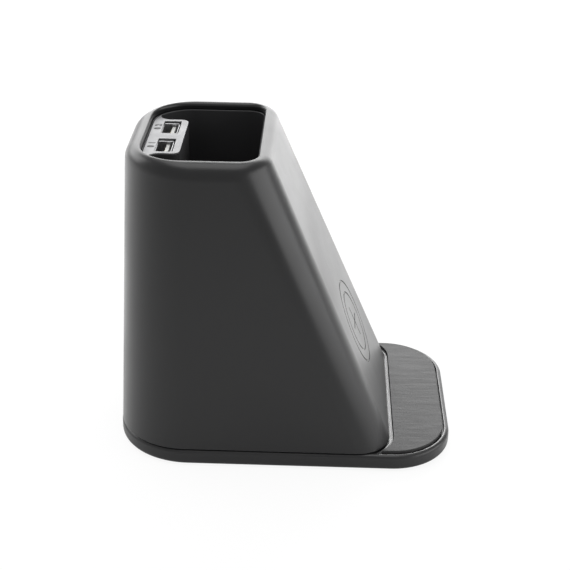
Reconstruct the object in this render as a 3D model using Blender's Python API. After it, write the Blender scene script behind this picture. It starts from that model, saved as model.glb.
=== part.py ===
"""Wireless charger pen holder for a desk.

A wedge-shaped body with a rolled-over mouth holds a pen cup, and two power sockets face up at the
back of the cup. A phone stands on the rubber pad of the base and leans on the sloping front, with
the charging coil behind it. Metres, +Z up, the front towards -Y, the desk at height zero.
"""

import math
from dataclasses import dataclass

import bmesh
import bpy
from mathutils import Vector

# Clearance between pieces that touch, and how far a cutter runs past what it cuts
GAP = 0.0003
CUT_OVERRUN = 0.002
SMALLEST_CORNER = 0.0004

# Overall size
OVERALL_HEIGHT = 0.120
BASE_LENGTH = 0.130
BASE_WIDTH = 0.090

# Base: a skirted tray, open underneath, with a deck
FOOT_STANDOFF = 0.0004
BASE_HEIGHT = 0.0064
BASE_REAR_CORNER = 0.0285
BASE_FRONT_CORNER = 0.0235
BASE_LOWER_ROUND = 0.002
BASE_UPPER_ROUND = 0.0008
SKIRT_WALL = 0.0029
DECK_THICKNESS = 0.0022
SPIGOT_WALL = 0.0016
SPIGOT_HEIGHT = 0.004

# Body: the outer shell
BODY_LEDGE = 0.0004
PHONE_LEDGE_DEPTH = 0.0237
BODY_FRONT_CORNER = 0.0133
BODY_REAR_CORNER = 0.0268
SHELL_WALL = 0.0024
REAR_LEAN = 0.0043
TOP_DEPTH = 0.0566
TOP_WIDTH = 0.0762
TOP_REAR_CORNER = 0.0275
TOP_FRONT_CORNER = 0.0147
LIP_ROUND = 0.0066
LIP_REAR_TIGHTENING = 0.0056
LIP_FRONT_TIGHTENING = 0.0013

# Pen cup, with the dock for the sockets standing in its back
CUP_RIM_STEP = 0.0005
CUP_RIM_CHAMFER = 0.0011
CUP_WALL = 0.0013
CUP_DRAFT = 0.001
CUP_FLOOR_HEIGHT = 0.022
CUP_FLOOR_THICKNESS = 0.002
CUP_LEG_RADIUS = 0.003
CUP_LEG_SPREAD = 0.027
CUP_LEG_FRONT_INSET = 0.0055
CUP_LEG_REAR_INSET = 0.0125
DOCK_DEPTH = 0.0136
DOCK_CORNER = 0.002
DOCK_FLARE = 0.0042
DOCK_WALL = 0.0016
DOCK_ROOF = 0.0014
DOCK_SIDE_CLEARANCE = 0.00055
DOCK_BOSS_RADIUS = 0.0019

# Socket plate and the two sockets in it
PLATE_THICKNESS = 0.0012
SOCKET_PITCH = 0.0196
SOCKET_WIDTH = 0.0131
SOCKET_HEIGHT = 0.0057
SOCKET_LENGTH = 0.0135
SOCKET_SHEET = 0.0003
SOCKET_RIM_DROP = 0.0005
SOCKET_FRONT_MARGIN = 0.0035
SOCKET_SIDE_CLEARANCE = 0.0003
SOCKET_END_CLEARANCE = 0.00045
TONGUE_SIDE_CLEARANCE = 0.0007
TONGUE_THICKNESS = 0.00184
TONGUE_OFFSET = 0.00095
TONGUE_DROP = 0.001
TONGUE_BASE_LENGTH = 0.0025
CONTACT_COUNT = 4
CONTACT_PITCH = 0.0021
CONTACT_WIDTH = 0.001
CONTACT_THICKNESS = 0.0002
CONTACT_LENGTH = 0.0062
CONTACT_GAP = 0.00015

# Circuit boards and what stands on them
BOARD_THICKNESS = 0.0016
BOARD_CORNER = 0.0015
MAIN_BOARD_WIDTH = 0.040
MAIN_BOARD_LENGTH = 0.0485
MAIN_BOARD_REAR_GAP = 0.0004
MAIN_BOARD_LIFT = 0.0039
POST_RADIUS = 0.0026
POST_EDGE = 0.0035
LEAD_HEADER_WIDTH = 0.006
LEAD_HEADER_DEPTH = 0.004
LEAD_HEADER_HEIGHT = 0.0028
CHIP_SIDE = 0.007
CHIP_HEIGHT = 0.0009
INDUCTOR_SIDE = 0.010
INDUCTOR_CORNER = 0.0026
INDUCTOR_HEIGHT = 0.004
CAPACITOR_RADIUS = 0.0032
CAPACITOR_HEIGHT = 0.0054

# Power inlet at the back
INLET_WIDTH = 0.00894
INLET_HEIGHT = 0.0032
INLET_LENGTH = 0.0073
INLET_SHEET = 0.0003
INLET_RECESS = 0.0008
INLET_CLEARANCE = 0.0004
INLET_TONGUE_WIDTH = 0.0067
INLET_TONGUE_THICKNESS = 0.0007
INLET_BLOCK_LENGTH = 0.0022
INLET_TONGUE_DROP = 0.001

# Charging coil and what holds it behind the slope
CARRIER_TOP_MARGIN = 0.0193
COIL_INNER_RADIUS = 0.0102
COIL_PITCH = 0.00155
COIL_TURNS = 8
COIL_WIRE = 0.0011
FERRITE_MARGIN = 0.0003
FERRITE_THICKNESS = 0.0008
CARRIER_MARGIN = 0.00045
CARRIER_CORNER = 0.004
CARRIER_THICKNESS = 0.0016
CARRIER_RIM_WALL = 0.0014
CARRIER_WINDOW_RADIUS = 0.008
CARRIER_NOTCH = 0.0046
CARRIER_SCREW_INSET = 0.0041
CARRIER_BOSS_RADIUS = 0.0024

# Screws
CASE_SCREW_RADIUS = 0.00125
CASE_SCREW_HEAD_RADIUS = 0.0021
CASE_SCREW_HEAD = 0.0015
CASE_SCREW_LENGTH = 0.0145
CASE_SCREW_REAR_INSET = 0.043
CASE_SCREW_FRONT_INSET = 0.021
SMALL_SCREW_RADIUS = 0.0008
SMALL_SCREW_HEAD_RADIUS = 0.0017
SMALL_SCREW_HEAD = 0.0013
BOARD_SCREW_LENGTH = 0.0042
DOCK_SCREW_LENGTH = 0.006
DOCK_SCREW_PITCH = 0.006
SHELL_BOSS_EMBED = 0.0004
SHELL_BOSS_SETBACK = 0.0005
SCREW_CHAMFER_SHARE = 0.25

# Bottom cover and feet
COVER_THICKNESS = 0.0016
COVER_BOSS_RADIUS = 0.0032
FOOT_RADIUS = 0.006
FOOT_THICKNESS = 0.0015
FOOT_MARGIN = 0.004
FOOT_EDGE = 0.0003

# Rubber pad on the phone ledge
LEDGE_RIM = 0.0024
LEDGE_INNER_RIM = 0.0015
LEDGE_GROOVE = 0.0006
LEDGE_RECESS = 0.0009
PAD_THICKNESS = 0.0016
PAD_EDGE = 0.0003

# Leads inside the housing
SOCKET_LEAD_DIAMETER = 0.0024
SOCKET_LEAD_OFFSET = 0.0095
SOCKET_LEAD_BOW = 0.0018
COIL_LEAD_DIAMETER = 0.002
COIL_LEAD_SLACK = 0.010

# How finely the round parts are divided
CORNER_STEPS = 9
ROUND_STEPS = 6
EDGE_STEPS = 3
SCREW_SIDES = 12
FOOT_SIDES = 24
COIL_POINTS_PER_TURN = 24
LEAD_SPACING_DIAMETERS = 2.5
SHARP_ANGLE = math.radians(35)

LEFT_AND_RIGHT = (("left", -1), ("right", 1))
FRONT_AND_REAR = (("front", -1), ("rear", 1))


@dataclass(frozen=True)
class Outline:
    """A rounded rectangle seen from above, even about the middle plane of the object."""

    front: float
    rear: float
    half_width: float
    front_corner: float
    rear_corner: float

    def inset(self, amount):
        """The same outline moved inwards, or outwards by a negative amount."""
        return Outline(
            self.front + amount,
            self.rear - amount,
            self.half_width - amount,
            max(self.front_corner - amount, SMALLEST_CORNER),
            max(self.rear_corner - amount, SMALLEST_CORNER),
        )

    def blend(self, other, share):
        """The outline part of the way towards another one."""
        mine = (self.front, self.rear, self.half_width, self.front_corner, self.rear_corner)
        theirs = (other.front, other.rear, other.half_width, other.front_corner, other.rear_corner)
        return Outline(*(a + (b - a) * share for a, b in zip(mine, theirs)))

    def corner_centre(self, side, end):
        """Centre of a corner's arc: side is -1 left or 1 right, end is -1 front or 1 rear."""
        if end < 0:
            return side * (self.half_width - self.front_corner), self.front + self.front_corner
        return side * (self.half_width - self.rear_corner), self.rear - self.rear_corner

    def ring(self, height, steps=CORNER_STEPS):
        """Points round the outline at a height, anticlockwise from the front right corner."""
        corners = (
            (1, -1, self.front_corner, -math.pi / 2),
            (1, 1, self.rear_corner, 0),
            (-1, 1, self.rear_corner, math.pi / 2),
            (-1, -1, self.front_corner, math.pi),
        )
        points = []
        for side, end, radius, start in corners:
            x, y = self.corner_centre(side, end)
            points += arc(x, y, radius, start, start + math.pi / 2, steps, height)
        return points


def arc(x, y, radius, start, stop, steps, height=0):
    """Points along an arc about (x, y), from one angle to another."""
    angles = [start + (stop - start) * step / steps for step in range(steps + 1)]
    return [Vector((x + radius * math.cos(a), y + radius * math.sin(a), height)) for a in angles]


def raised(points, height):
    """Copies of flat points at another height."""
    return [Vector((point.x, point.y, height)) for point in points]


# Heights and outlines that follow from the driving dimensions
BASE_FLOOR = FOOT_STANDOFF
RIM_HEIGHT = BASE_FLOOR + BASE_HEIGHT
DECK_UNDERSIDE = RIM_HEIGHT - DECK_THICKNESS
SHELL_FLOOR = RIM_HEIGHT + GAP
LIP_START = OVERALL_HEIGHT - LIP_ROUND
CUP_RIM = OVERALL_HEIGHT - SHELL_WALL - GAP
PLATE_UNDERSIDE = CUP_RIM - PLATE_THICKNESS
DOCK_TOP = PLATE_UNDERSIDE - GAP
CUP_UNDERSIDE = CUP_FLOOR_HEIGHT - CUP_FLOOR_THICKNESS
SOCKET_RIM = CUP_RIM - SOCKET_RIM_DROP
SOCKET_BOTTOM = SOCKET_RIM - SOCKET_LENGTH
DOCK_BOARD_TOP = SOCKET_BOTTOM - GAP
DOCK_BOARD_UNDERSIDE = DOCK_BOARD_TOP - BOARD_THICKNESS
MAIN_BOARD_UNDERSIDE = RIM_HEIGHT + MAIN_BOARD_LIFT + GAP
MAIN_BOARD_TOP = MAIN_BOARD_UNDERSIDE + BOARD_THICKNESS

BASE = Outline(
    -BASE_LENGTH / 2, BASE_LENGTH / 2, BASE_WIDTH / 2, BASE_FRONT_CORNER, BASE_REAR_CORNER
)
BODY_FOOT = Outline(
    BASE.front + PHONE_LEDGE_DEPTH,
    BASE.rear - BODY_LEDGE,
    BASE.half_width - BODY_LEDGE,
    BODY_FRONT_CORNER,
    BODY_REAR_CORNER,
)
BODY_TOP = Outline(
    BODY_FOOT.rear - REAR_LEAN - TOP_DEPTH,
    BODY_FOOT.rear - REAR_LEAN,
    TOP_WIDTH / 2,
    TOP_FRONT_CORNER,
    TOP_REAR_CORNER,
)
LIP = Outline(
    BODY_TOP.front + LIP_ROUND,
    BODY_TOP.rear - LIP_ROUND,
    BODY_TOP.half_width - LIP_ROUND,
    TOP_FRONT_CORNER - LIP_ROUND - LIP_FRONT_TIGHTENING,
    TOP_REAR_CORNER - LIP_ROUND - LIP_REAR_TIGHTENING,
)
CUP_MOUTH = LIP.inset(CUP_RIM_STEP)
SHELL_INSIDE = BODY_FOOT.inset(SHELL_WALL)
COVER = BASE.inset(SKIRT_WALL + GAP)
CASE_SCREW_SEAT = BASE_FLOOR + GAP + CASE_SCREW_HEAD

DOCK_WIDTH = SOCKET_PITCH + SOCKET_WIDTH + 2 * (DOCK_WALL + DOCK_SIDE_CLEARANCE)
DOCK_FRONT = CUP_MOUTH.rear - DOCK_DEPTH
DOCK_FILLET = min(DOCK_FLARE, (CUP_MOUTH.half_width - DOCK_WIDTH / 2) / 2)
SOCKET_MIDDLE = DOCK_FRONT + SOCKET_FRONT_MARGIN + SOCKET_HEIGHT / 2
CASE_SCREW_SPREAD = BASE.half_width - SKIRT_WALL - GAP - COVER_BOSS_RADIUS
SHELL_BOSS_RADIUS = SHELL_INSIDE.half_width - CASE_SCREW_SPREAD + SHELL_BOSS_EMBED
MAIN_BOARD_REAR = SHELL_INSIDE.rear - GAP - SPIGOT_WALL - MAIN_BOARD_REAR_GAP
MAIN_BOARD_FRONT = MAIN_BOARD_REAR - MAIN_BOARD_LENGTH

COIL_RADIUS = COIL_INNER_RADIUS + COIL_PITCH * COIL_TURNS
FERRITE_RADIUS = COIL_RADIUS + COIL_WIRE / 2 + FERRITE_MARGIN
CARRIER_RIM_RADIUS = FERRITE_RADIUS + GAP + CARRIER_RIM_WALL
CARRIER_SIDE = 2 * (CARRIER_RIM_RADIUS + CARRIER_MARGIN)

SLOPE_RUN = BODY_TOP.front - BODY_FOOT.front
SLOPE_RISE = LIP_START - SHELL_FLOOR
SLOPE_ANGLE = math.atan2(SLOPE_RUN, SLOPE_RISE)
COIL_HEIGHT = LIP_START - (CARRIER_TOP_MARGIN + CARRIER_SIDE / 2) * math.cos(SLOPE_ANGLE)


def body_outline(height):
    """The body's outer outline at a height between its foot and the start of the lip."""
    return BODY_FOOT.blend(BODY_TOP, (height - SHELL_FLOOR) / SLOPE_RISE)


def clear_scene():
    """Removes whatever the scene holds."""
    for old in list(bpy.data.objects):
        bpy.data.objects.remove(old)


def material(name, colour, roughness, metallic=0):
    """A plain Principled material."""
    made = bpy.data.materials.new(name)
    made.use_nodes = True
    shader = made.node_tree.nodes["Principled BSDF"]
    shader.inputs["Base Color"].default_value = (*colour, 1)
    shader.inputs["Roughness"].default_value = roughness
    shader.inputs["Metallic"].default_value = metallic
    return made


def finished(name, mesh_builder, surface=None):
    """Turns a bmesh into a smooth-shaded object; with no surface it is a hidden helper."""
    bmesh.ops.recalc_face_normals(mesh_builder, faces=mesh_builder.faces)
    mesh = bpy.data.meshes.new(name)
    mesh_builder.to_mesh(mesh)
    mesh_builder.free()
    mesh.shade_smooth()
    mesh.set_sharp_from_angle(angle=SHARP_ANGLE)
    made = bpy.data.objects.new(name, mesh)
    bpy.context.scene.collection.objects.link(made)
    if surface is None:
        made.hide_render = True
        made.display_type = "WIRE"
    else:
        mesh.materials.append(surface)
    return made


def loft(name, rings, surface=None, closed=False):
    """Skins rings of equal length; closed joins the last to the first, otherwise both are capped."""
    mesh_builder = bmesh.new()
    loops = [[mesh_builder.verts.new(point) for point in ring] for ring in rings]
    pairs = list(zip(loops, loops[1:]))
    if closed:
        pairs.append((loops[-1], loops[0]))
    else:
        mesh_builder.faces.new(loops[0])
        mesh_builder.faces.new(loops[-1])
    for lower, upper in pairs:
        for here, there in zip(range(-1, len(lower) - 1), range(len(lower))):
            mesh_builder.faces.new((lower[here], lower[there], upper[there], upper[here]))
    return finished(name, mesh_builder, surface)


def prism(name, points, low, high, surface=None):
    """Extrudes a flat outline straight up from one height to another."""
    return loft(name, [raised(points, low), raised(points, high)], surface)


def turned(name, profile, sides, surface=None):
    """Spins a profile of (radius, height) pairs, on the axis at both ends, about the z axis."""
    mesh_builder = bmesh.new()
    points = [mesh_builder.verts.new((radius, 0, height)) for radius, height in profile]
    edges = [mesh_builder.edges.new(pair) for pair in zip(points, points[1:])]
    bmesh.ops.spin(
        mesh_builder,
        geom=points + edges,
        cent=(0, 0, 0),
        axis=(0, 0, 1),
        angle=math.tau,
        steps=sides,
        use_duplicate=False,
    )
    bmesh.ops.remove_doubles(mesh_builder, verts=mesh_builder.verts, dist=GAP / sides)
    return finished(name, mesh_builder, surface)


def cylinder(name, radius, low, high, sides=SCREW_SIDES, surface=None):
    """A plain upright cylinder."""
    return turned(name, ((0, low), (radius, low), (radius, high), (0, high)), sides, surface)


def screw_boss(name, radius, bore, low, bore_top, top):
    """An upright boss with a blind screw hole from below, as a helper to fuse on."""
    profile = ((0, bore_top), (bore, bore_top), (bore, low), (radius, low), (radius, top), (0, top))
    return turned(name, profile, SCREW_SIDES)


def block(name, low, high, surface=None):
    """A box between two corners."""
    points = [(low[0], low[1]), (high[0], low[1]), (high[0], high[1]), (low[0], high[1])]
    flat = [Vector((x, y, 0)) for x, y in points]
    return prism(name, flat, low[2], high[2], surface)


def placed(piece, x=0, y=0, z=0, parent=None):
    """Moves a piece to its place, in its parent's frame if it has one."""
    piece.location = (x, y, z)
    piece.parent = parent
    return piece


def combine(target, helper, operation):
    """Adds a Boolean that joins a helper to a piece or cuts it out."""
    modifier = target.modifiers.new(helper.name, "BOOLEAN")
    modifier.operation = operation
    modifier.object = helper
    modifier.solver = "EXACT"


def fuse(target, *helpers):
    """Joins helpers to a piece."""
    for helper in helpers:
        combine(target, helper, "UNION")


def cut(target, *helpers):
    """Cuts helpers out of a piece."""
    for helper in helpers:
        combine(target, helper, "DIFFERENCE")


def smooth_route(points, spacing):
    """Points about a spacing apart on a smooth curve through the given ones, straight at its ends."""
    chords = [there - here for here, there in zip(points, points[1:])]
    headings = [chords[0].normalized()]
    for before, after in zip(chords, chords[1:]):
        heading = before.normalized() * after.length + after.normalized() * before.length
        headings.append(heading.normalized())
    headings.append(chords[-1].normalized())
    route = []
    for start, chord, leaving, arriving in zip(points, chords, headings, headings[1:]):
        steps = max(round(chord.length / spacing), 1)
        for step in range(steps):
            t = step / steps
            bend = leaving * (t**3 - 2 * t**2 + t) + arriving * (t**3 - t**2)
            route.append(start + chord * (3 * t**2 - 2 * t**3) + bend * chord.length)
    return [*route, points[-1]]


def tube(name, route, diameter, surface, resolution):
    """A round tube along a route, with filled ends."""
    curve = bpy.data.curves.new(name, "CURVE")
    curve.dimensions = "3D"
    curve.bevel_depth = diameter / 2
    curve.bevel_resolution = resolution
    curve.use_fill_caps = True
    spline = curve.splines.new("POLY")
    spline.points.add(len(route) - 1)
    for point, place in zip(spline.points, route):
        point.co = (*place, 1)
    curve.materials.append(surface)
    made = bpy.data.objects.new(name, curve)
    bpy.context.scene.collection.objects.link(made)
    return made


def slope_frame():
    """An empty on the inner face of the slope: its y runs up the slope and its z points outwards."""
    frame = bpy.data.objects.new("slope_frame", None)
    bpy.context.scene.collection.objects.link(frame)
    share = (COIL_HEIGHT - SHELL_FLOOR) / SLOPE_RISE
    frame.location = (0, SHELL_INSIDE.front + SLOPE_RUN * share, COIL_HEIGHT)
    frame.rotation_euler = (math.pi / 2 - SLOPE_ANGLE, 0, 0)
    return frame


def slope_point(along, depth):
    """World place of a point on the middle plane, up the slope from the coil and behind its skin."""
    share = (COIL_HEIGHT - SHELL_FLOOR) / SLOPE_RISE
    up = Vector((0, math.sin(SLOPE_ANGLE), math.cos(SLOPE_ANGLE)))
    inward = Vector((0, math.cos(SLOPE_ANGLE), -math.sin(SLOPE_ANGLE)))
    origin = Vector((0, SHELL_INSIDE.front + SLOPE_RUN * share, COIL_HEIGHT))
    return origin + up * along + inward * depth


def case_screw_places():
    """Where the four case screws stand, with a name for each."""
    depths = (
        ("front", BODY_FOOT.front + CASE_SCREW_FRONT_INSET),
        ("rear", BODY_FOOT.rear - CASE_SCREW_REAR_INSET),
    )
    for end, y in depths:
        for side, sign in LEFT_AND_RIGHT:
            yield f"{end}_{side}", sign * CASE_SCREW_SPREAD, y


def post_places():
    """Where the main board's posts stand."""
    for end, y in (("front", MAIN_BOARD_FRONT + POST_EDGE), ("rear", MAIN_BOARD_REAR - POST_EDGE)):
        for side, sign in LEFT_AND_RIGHT:
            yield f"{end}_{side}", sign * (MAIN_BOARD_WIDTH / 2 - POST_EDGE), y


def foot_places():
    """Where the rubber feet sit: on the diagonal of each corner of the base."""
    for end, end_sign in FRONT_AND_REAR:
        corner = BASE_FRONT_CORNER if end_sign < 0 else BASE_REAR_CORNER
        reach = (corner - SKIRT_WALL - GAP - FOOT_MARGIN - FOOT_RADIUS) / math.sqrt(2)
        for side, sign in LEFT_AND_RIGHT:
            x, y = BASE.corner_centre(sign, end_sign)
            yield f"{end}_{side}", x + sign * reach, y + end_sign * reach


def carrier_screw_places():
    """Where the coil carrier's screws stand, in the slope's frame."""
    reach = CARRIER_SIDE / 2 - CARRIER_SCREW_INSET
    for end, end_sign in (("lower", -1), ("upper", 1)):
        for side, sign in LEFT_AND_RIGHT:
            yield f"{end}_{side}", sign * reach, end_sign * reach


def dock_screw_places():
    """Depths of the two screws that hold the socket board, between the sockets."""
    front = DOCK_FRONT + DOCK_WALL + GAP + SMALL_SCREW_HEAD_RADIUS + GAP
    return (("front", front), ("rear", front + DOCK_SCREW_PITCH))


def socket_places():
    """The name and sideways place of each socket."""
    return [(side, sign * SOCKET_PITCH / 2) for side, sign in LEFT_AND_RIGHT]


def dock_outline(inset, rear_gap):
    """The dock from above: straight front, flared where it meets the round back of the cup.

    rear_gap is kept to the cup's wall; a negative one runs into the wall.
    """
    centre_x, centre_y = CUP_MOUTH.corner_centre(1, 1)
    reach = CUP_MOUTH.rear_corner - rear_gap
    flare = DOCK_FILLET + inset
    flare_x = DOCK_WIDTH / 2 + DOCK_FILLET
    apart = CUP_MOUTH.rear_corner - DOCK_FILLET
    flare_y = centre_y + math.sqrt(max(apart**2 - (flare_x - centre_x) ** 2, 0))
    towards = math.atan2(flare_y - centre_y, flare_x - centre_x)
    turn = (reach**2 - apart**2 - flare**2) / (2 * apart * flare)
    meeting = towards + math.acos(min(turn, 1))
    side = arc(flare_x, flare_y, flare, math.pi, meeting, ROUND_STEPS)
    tip = side[-1]
    start = math.atan2(tip.y - centre_y, tip.x - centre_x)
    back = arc(centre_x, centre_y, reach, start, math.pi / 2, EDGE_STEPS)
    if (back[0] - tip).length < GAP / 2:
        side.pop()
    corner = max(DOCK_CORNER - inset, SMALLEST_CORNER)
    corner_x = DOCK_WIDTH / 2 - inset - corner
    corner_y = DOCK_FRONT + inset + corner
    front = arc(corner_x, corner_y, corner, -math.pi / 2, 0, EDGE_STEPS)
    right = [*front, *side, *back]
    left = [Vector((-point.x, point.y, 0)) for point in reversed(right)]
    return [*right, *left]


def ledge_outline(rim, inner_rim):
    """The pad's place on the ledge, rim in from the base's edge and inner_rim off the body."""
    edge = BASE.inset(rim)
    body = BODY_FOOT.inset(-inner_rim)
    front_x, front_y = edge.corner_centre(1, -1)
    body_x, body_y = body.corner_centre(1, -1)
    across = min((edge.half_width - body_x) / body.front_corner, 1)
    cusp = -math.acos(across)
    outer = arc(front_x, front_y, edge.front_corner, -math.pi / 2, 0, CORNER_STEPS)
    inner = arc(body_x, body_y, body.front_corner, cusp, -math.pi / 2, CORNER_STEPS)
    right = [*outer, *inner]
    left = [Vector((-point.x, point.y, 0)) for point in reversed(right)]
    return [*right, *left]


def make_outer_shell(surface, frame):
    """The body: one moulding whose wall rolls over into the mouth of the cup."""
    rings = [BODY_FOOT.ring(SHELL_FLOOR), BODY_TOP.ring(LIP_START)]
    inside = [SHELL_INSIDE.ring(SHELL_FLOOR), BODY_TOP.inset(SHELL_WALL).ring(LIP_START)]
    for step in range(1, ROUND_STEPS + 1):
        angle = math.pi / 2 * step / ROUND_STEPS
        rolled = BODY_TOP.blend(LIP, 1 - math.cos(angle))
        rings.append(rolled.ring(LIP_START + LIP_ROUND * math.sin(angle)))
        inner = rolled.inset(SHELL_WALL * math.cos(angle))
        inside.append(inner.ring(LIP_START + (LIP_ROUND - SHELL_WALL) * math.sin(angle)))
    shell = loft("outer_shell", [*rings, *reversed(inside)], surface, closed=True)

    case_hole = CASE_SCREW_RADIUS + GAP
    boss_low = SHELL_FLOOR + SHELL_BOSS_SETBACK
    hole_top = CASE_SCREW_SEAT + CASE_SCREW_LENGTH + GAP
    boss_top = hole_top + SHELL_WALL / 2
    for name, x, y in case_screw_places():
        boss = screw_boss(
            f"shell_boss_{name}", SHELL_BOSS_RADIUS, case_hole, boss_low, hole_top, boss_top
        )
        fuse(shell, placed(boss, x, y))
    small_hole, boss_low = SMALL_SCREW_RADIUS + GAP, GAP - carrier_stack()
    for name, x, y in carrier_screw_places():
        boss = screw_boss(
            f"slope_boss_{name}", CARRIER_BOSS_RADIUS, small_hole, boss_low, -GAP, SHELL_WALL / 2
        )
        fuse(shell, placed(boss, x, y, parent=frame))

    inlet = stadium(INLET_WIDTH / 2 + INLET_CLEARANCE, INLET_HEIGHT / 2 + INLET_CLEARANCE)
    reach = SHELL_WALL + INLET_RECESS + CUT_OVERRUN
    cut(shell, lying(prism("inlet_cutter", inlet, -reach, reach), BODY_FOOT.rear))
    return shell


def stadium(half_width, half_height, steps=ROUND_STEPS):
    """A slot outline with full round ends, flat at height zero."""
    x = half_width - half_height
    right = arc(x, 0, half_height, -math.pi / 2, math.pi / 2, steps)
    left = arc(-x, 0, half_height, math.pi / 2, 3 * math.pi / 2, steps)
    return [*right, *left]


def lying(piece, y):
    """Lays an upright piece down so that its top points to the front, at the inlet's height."""
    piece.rotation_euler = (math.pi / 2, 0, 0)
    return placed(piece, 0, y, MAIN_BOARD_TOP + GAP + INLET_HEIGHT / 2)


def make_pen_cup(surface):
    """The cup that drops into the shell from below, with the hollow dock and four legs."""
    outer_top = CUP_MOUTH.inset(-CUP_WALL)
    outer_foot = outer_top.inset(CUP_DRAFT)
    cup = loft(
        "pen_cup",
        [
            outer_foot.ring(CUP_UNDERSIDE),
            outer_top.ring(CUP_RIM - CUP_RIM_CHAMFER),
            outer_top.inset(CUP_RIM_CHAMFER).ring(CUP_RIM),
        ],
        surface,
    )
    space = loft(
        "pen_space",
        [
            CUP_MOUTH.inset(CUP_DRAFT).ring(CUP_FLOOR_HEIGHT),
            CUP_MOUTH.ring(CUP_RIM),
            CUP_MOUTH.ring(CUP_RIM + CUT_OVERRUN),
        ],
    )
    dock = dock_outline(0, -CUT_OVERRUN)
    cut(space, prism("dock_block", dock, CUP_FLOOR_HEIGHT - CUT_OVERRUN, DOCK_TOP))
    cut(cup, space)

    front = CUP_MOUTH.front + CUP_LEG_FRONT_INSET
    rear = CUP_MOUTH.rear - CUP_LEG_REAR_INSET
    leg_top = CUP_FLOOR_HEIGHT - CUP_FLOOR_THICKNESS / 2
    for end, y in (("front", front), ("rear", rear)):
        for side, sign in LEFT_AND_RIGHT:
            leg = cylinder(f"cup_leg_{end}_{side}", CUP_LEG_RADIUS, SHELL_FLOOR, leg_top)
            fuse(cup, placed(leg, sign * CUP_LEG_SPREAD, y))

    hollow = dock_outline(DOCK_WALL, 0)
    roof = DOCK_TOP - DOCK_ROOF
    cut(cup, prism("dock_hollow", hollow, CUP_UNDERSIDE - CUT_OVERRUN, roof))
    small_hole = SMALL_SCREW_RADIUS + GAP
    boss_low, boss_top = DOCK_BOARD_TOP + GAP, roof + DOCK_ROOF / 2
    hole_top = DOCK_BOARD_UNDERSIDE + DOCK_SCREW_LENGTH + GAP
    for end, y in dock_screw_places():
        boss = screw_boss(
            f"dock_boss_{end}", DOCK_BOSS_RADIUS, small_hole, boss_low, hole_top, boss_top
        )
        fuse(cup, placed(boss, 0, y))
    for side, x in socket_places():
        low, high = roof - CUT_OVERRUN, DOCK_TOP + CUT_OVERRUN
        cut(cup, socket_window(f"dock_window_{side}", x, low, high))
    return cup


def socket_window(name, x, low, high, surface=None):
    """The opening that a socket comes up through."""
    half_width = SOCKET_WIDTH / 2 + SOCKET_SIDE_CLEARANCE
    half_depth = SOCKET_HEIGHT / 2 + SOCKET_END_CLEARANCE
    near = (x - half_width, SOCKET_MIDDLE - half_depth, low)
    far = (x + half_width, SOCKET_MIDDLE + half_depth, high)
    return block(name, near, far, surface)


def make_socket_plate(surface):
    """The thin plate over the dock, with a window for each socket."""
    plate = prism("socket_plate", dock_outline(0, GAP), PLATE_UNDERSIDE, CUP_RIM, surface)
    for side, x in socket_places():
        low, high = PLATE_UNDERSIDE - CUT_OVERRUN, CUP_RIM + CUT_OVERRUN
        cut(plate, socket_window(f"plate_window_{side}", x, low, high))
    return plate


def make_socket(side, x, metal, plastic, gold):
    """One upward socket: its metal shell, its tongue, and four contacts on the tongue."""
    half = Vector((SOCKET_WIDTH / 2, SOCKET_HEIGHT / 2, 0))
    sheet = Vector((SOCKET_SHEET, SOCKET_SHEET, 0))
    middle = Vector((x, SOCKET_MIDDLE, 0))
    shell = block(
        f"socket_shell_{side}",
        middle - half + Vector((0, 0, SOCKET_BOTTOM)),
        middle + half + Vector((0, 0, SOCKET_RIM)),
        metal,
    )
    bore = block(
        f"socket_bore_{side}",
        middle - half + sheet + Vector((0, 0, SOCKET_BOTTOM - CUT_OVERRUN)),
        middle + half - sheet + Vector((0, 0, SOCKET_RIM + CUT_OVERRUN)),
    )
    cut(shell, bore)

    inner = half - sheet - Vector((GAP, GAP, 0))
    base_top = SOCKET_BOTTOM + TONGUE_BASE_LENGTH
    tongue = block(
        f"socket_tongue_{side}",
        middle - inner + Vector((0, 0, SOCKET_BOTTOM)),
        middle + inner + Vector((0, 0, base_top)),
        plastic,
    )
    tongue_half = half.x - SOCKET_SHEET - TONGUE_SIDE_CLEARANCE
    front = SOCKET_MIDDLE - SOCKET_HEIGHT / 2 + SOCKET_SHEET + TONGUE_OFFSET
    rear = front + TONGUE_THICKNESS
    blade = block(
        f"tongue_blade_{side}",
        (x - tongue_half, front, base_top - TONGUE_BASE_LENGTH / 2),
        (x + tongue_half, rear, SOCKET_RIM - TONGUE_DROP),
    )
    fuse(tongue, blade)

    contact_top = SOCKET_RIM - 2 * TONGUE_DROP
    row_start = x - CONTACT_PITCH * (CONTACT_COUNT - 1) / 2
    for number in range(CONTACT_COUNT):
        centre = row_start + number * CONTACT_PITCH
        block(
            f"socket_contact_{side}_{number + 1}",
            (centre - CONTACT_WIDTH / 2, rear + CONTACT_GAP, contact_top - CONTACT_LENGTH),
            (centre + CONTACT_WIDTH / 2, rear + CONTACT_GAP + CONTACT_THICKNESS, contact_top),
            gold,
        )


def screw(name, shank, head, head_height, length, surface, sides=SCREW_SIDES):
    """A screw with its head's seat at height zero, pointing up, and the head below."""
    chamfer = head_height * SCREW_CHAMFER_SHARE
    profile = (
        (0, -head_height),
        (head - chamfer, -head_height),
        (head, chamfer - head_height),
        (head, 0),
        (shank, 0),
        (shank, length - shank),
        (0, length),
    )
    return turned(name, profile, sides, surface)


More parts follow.
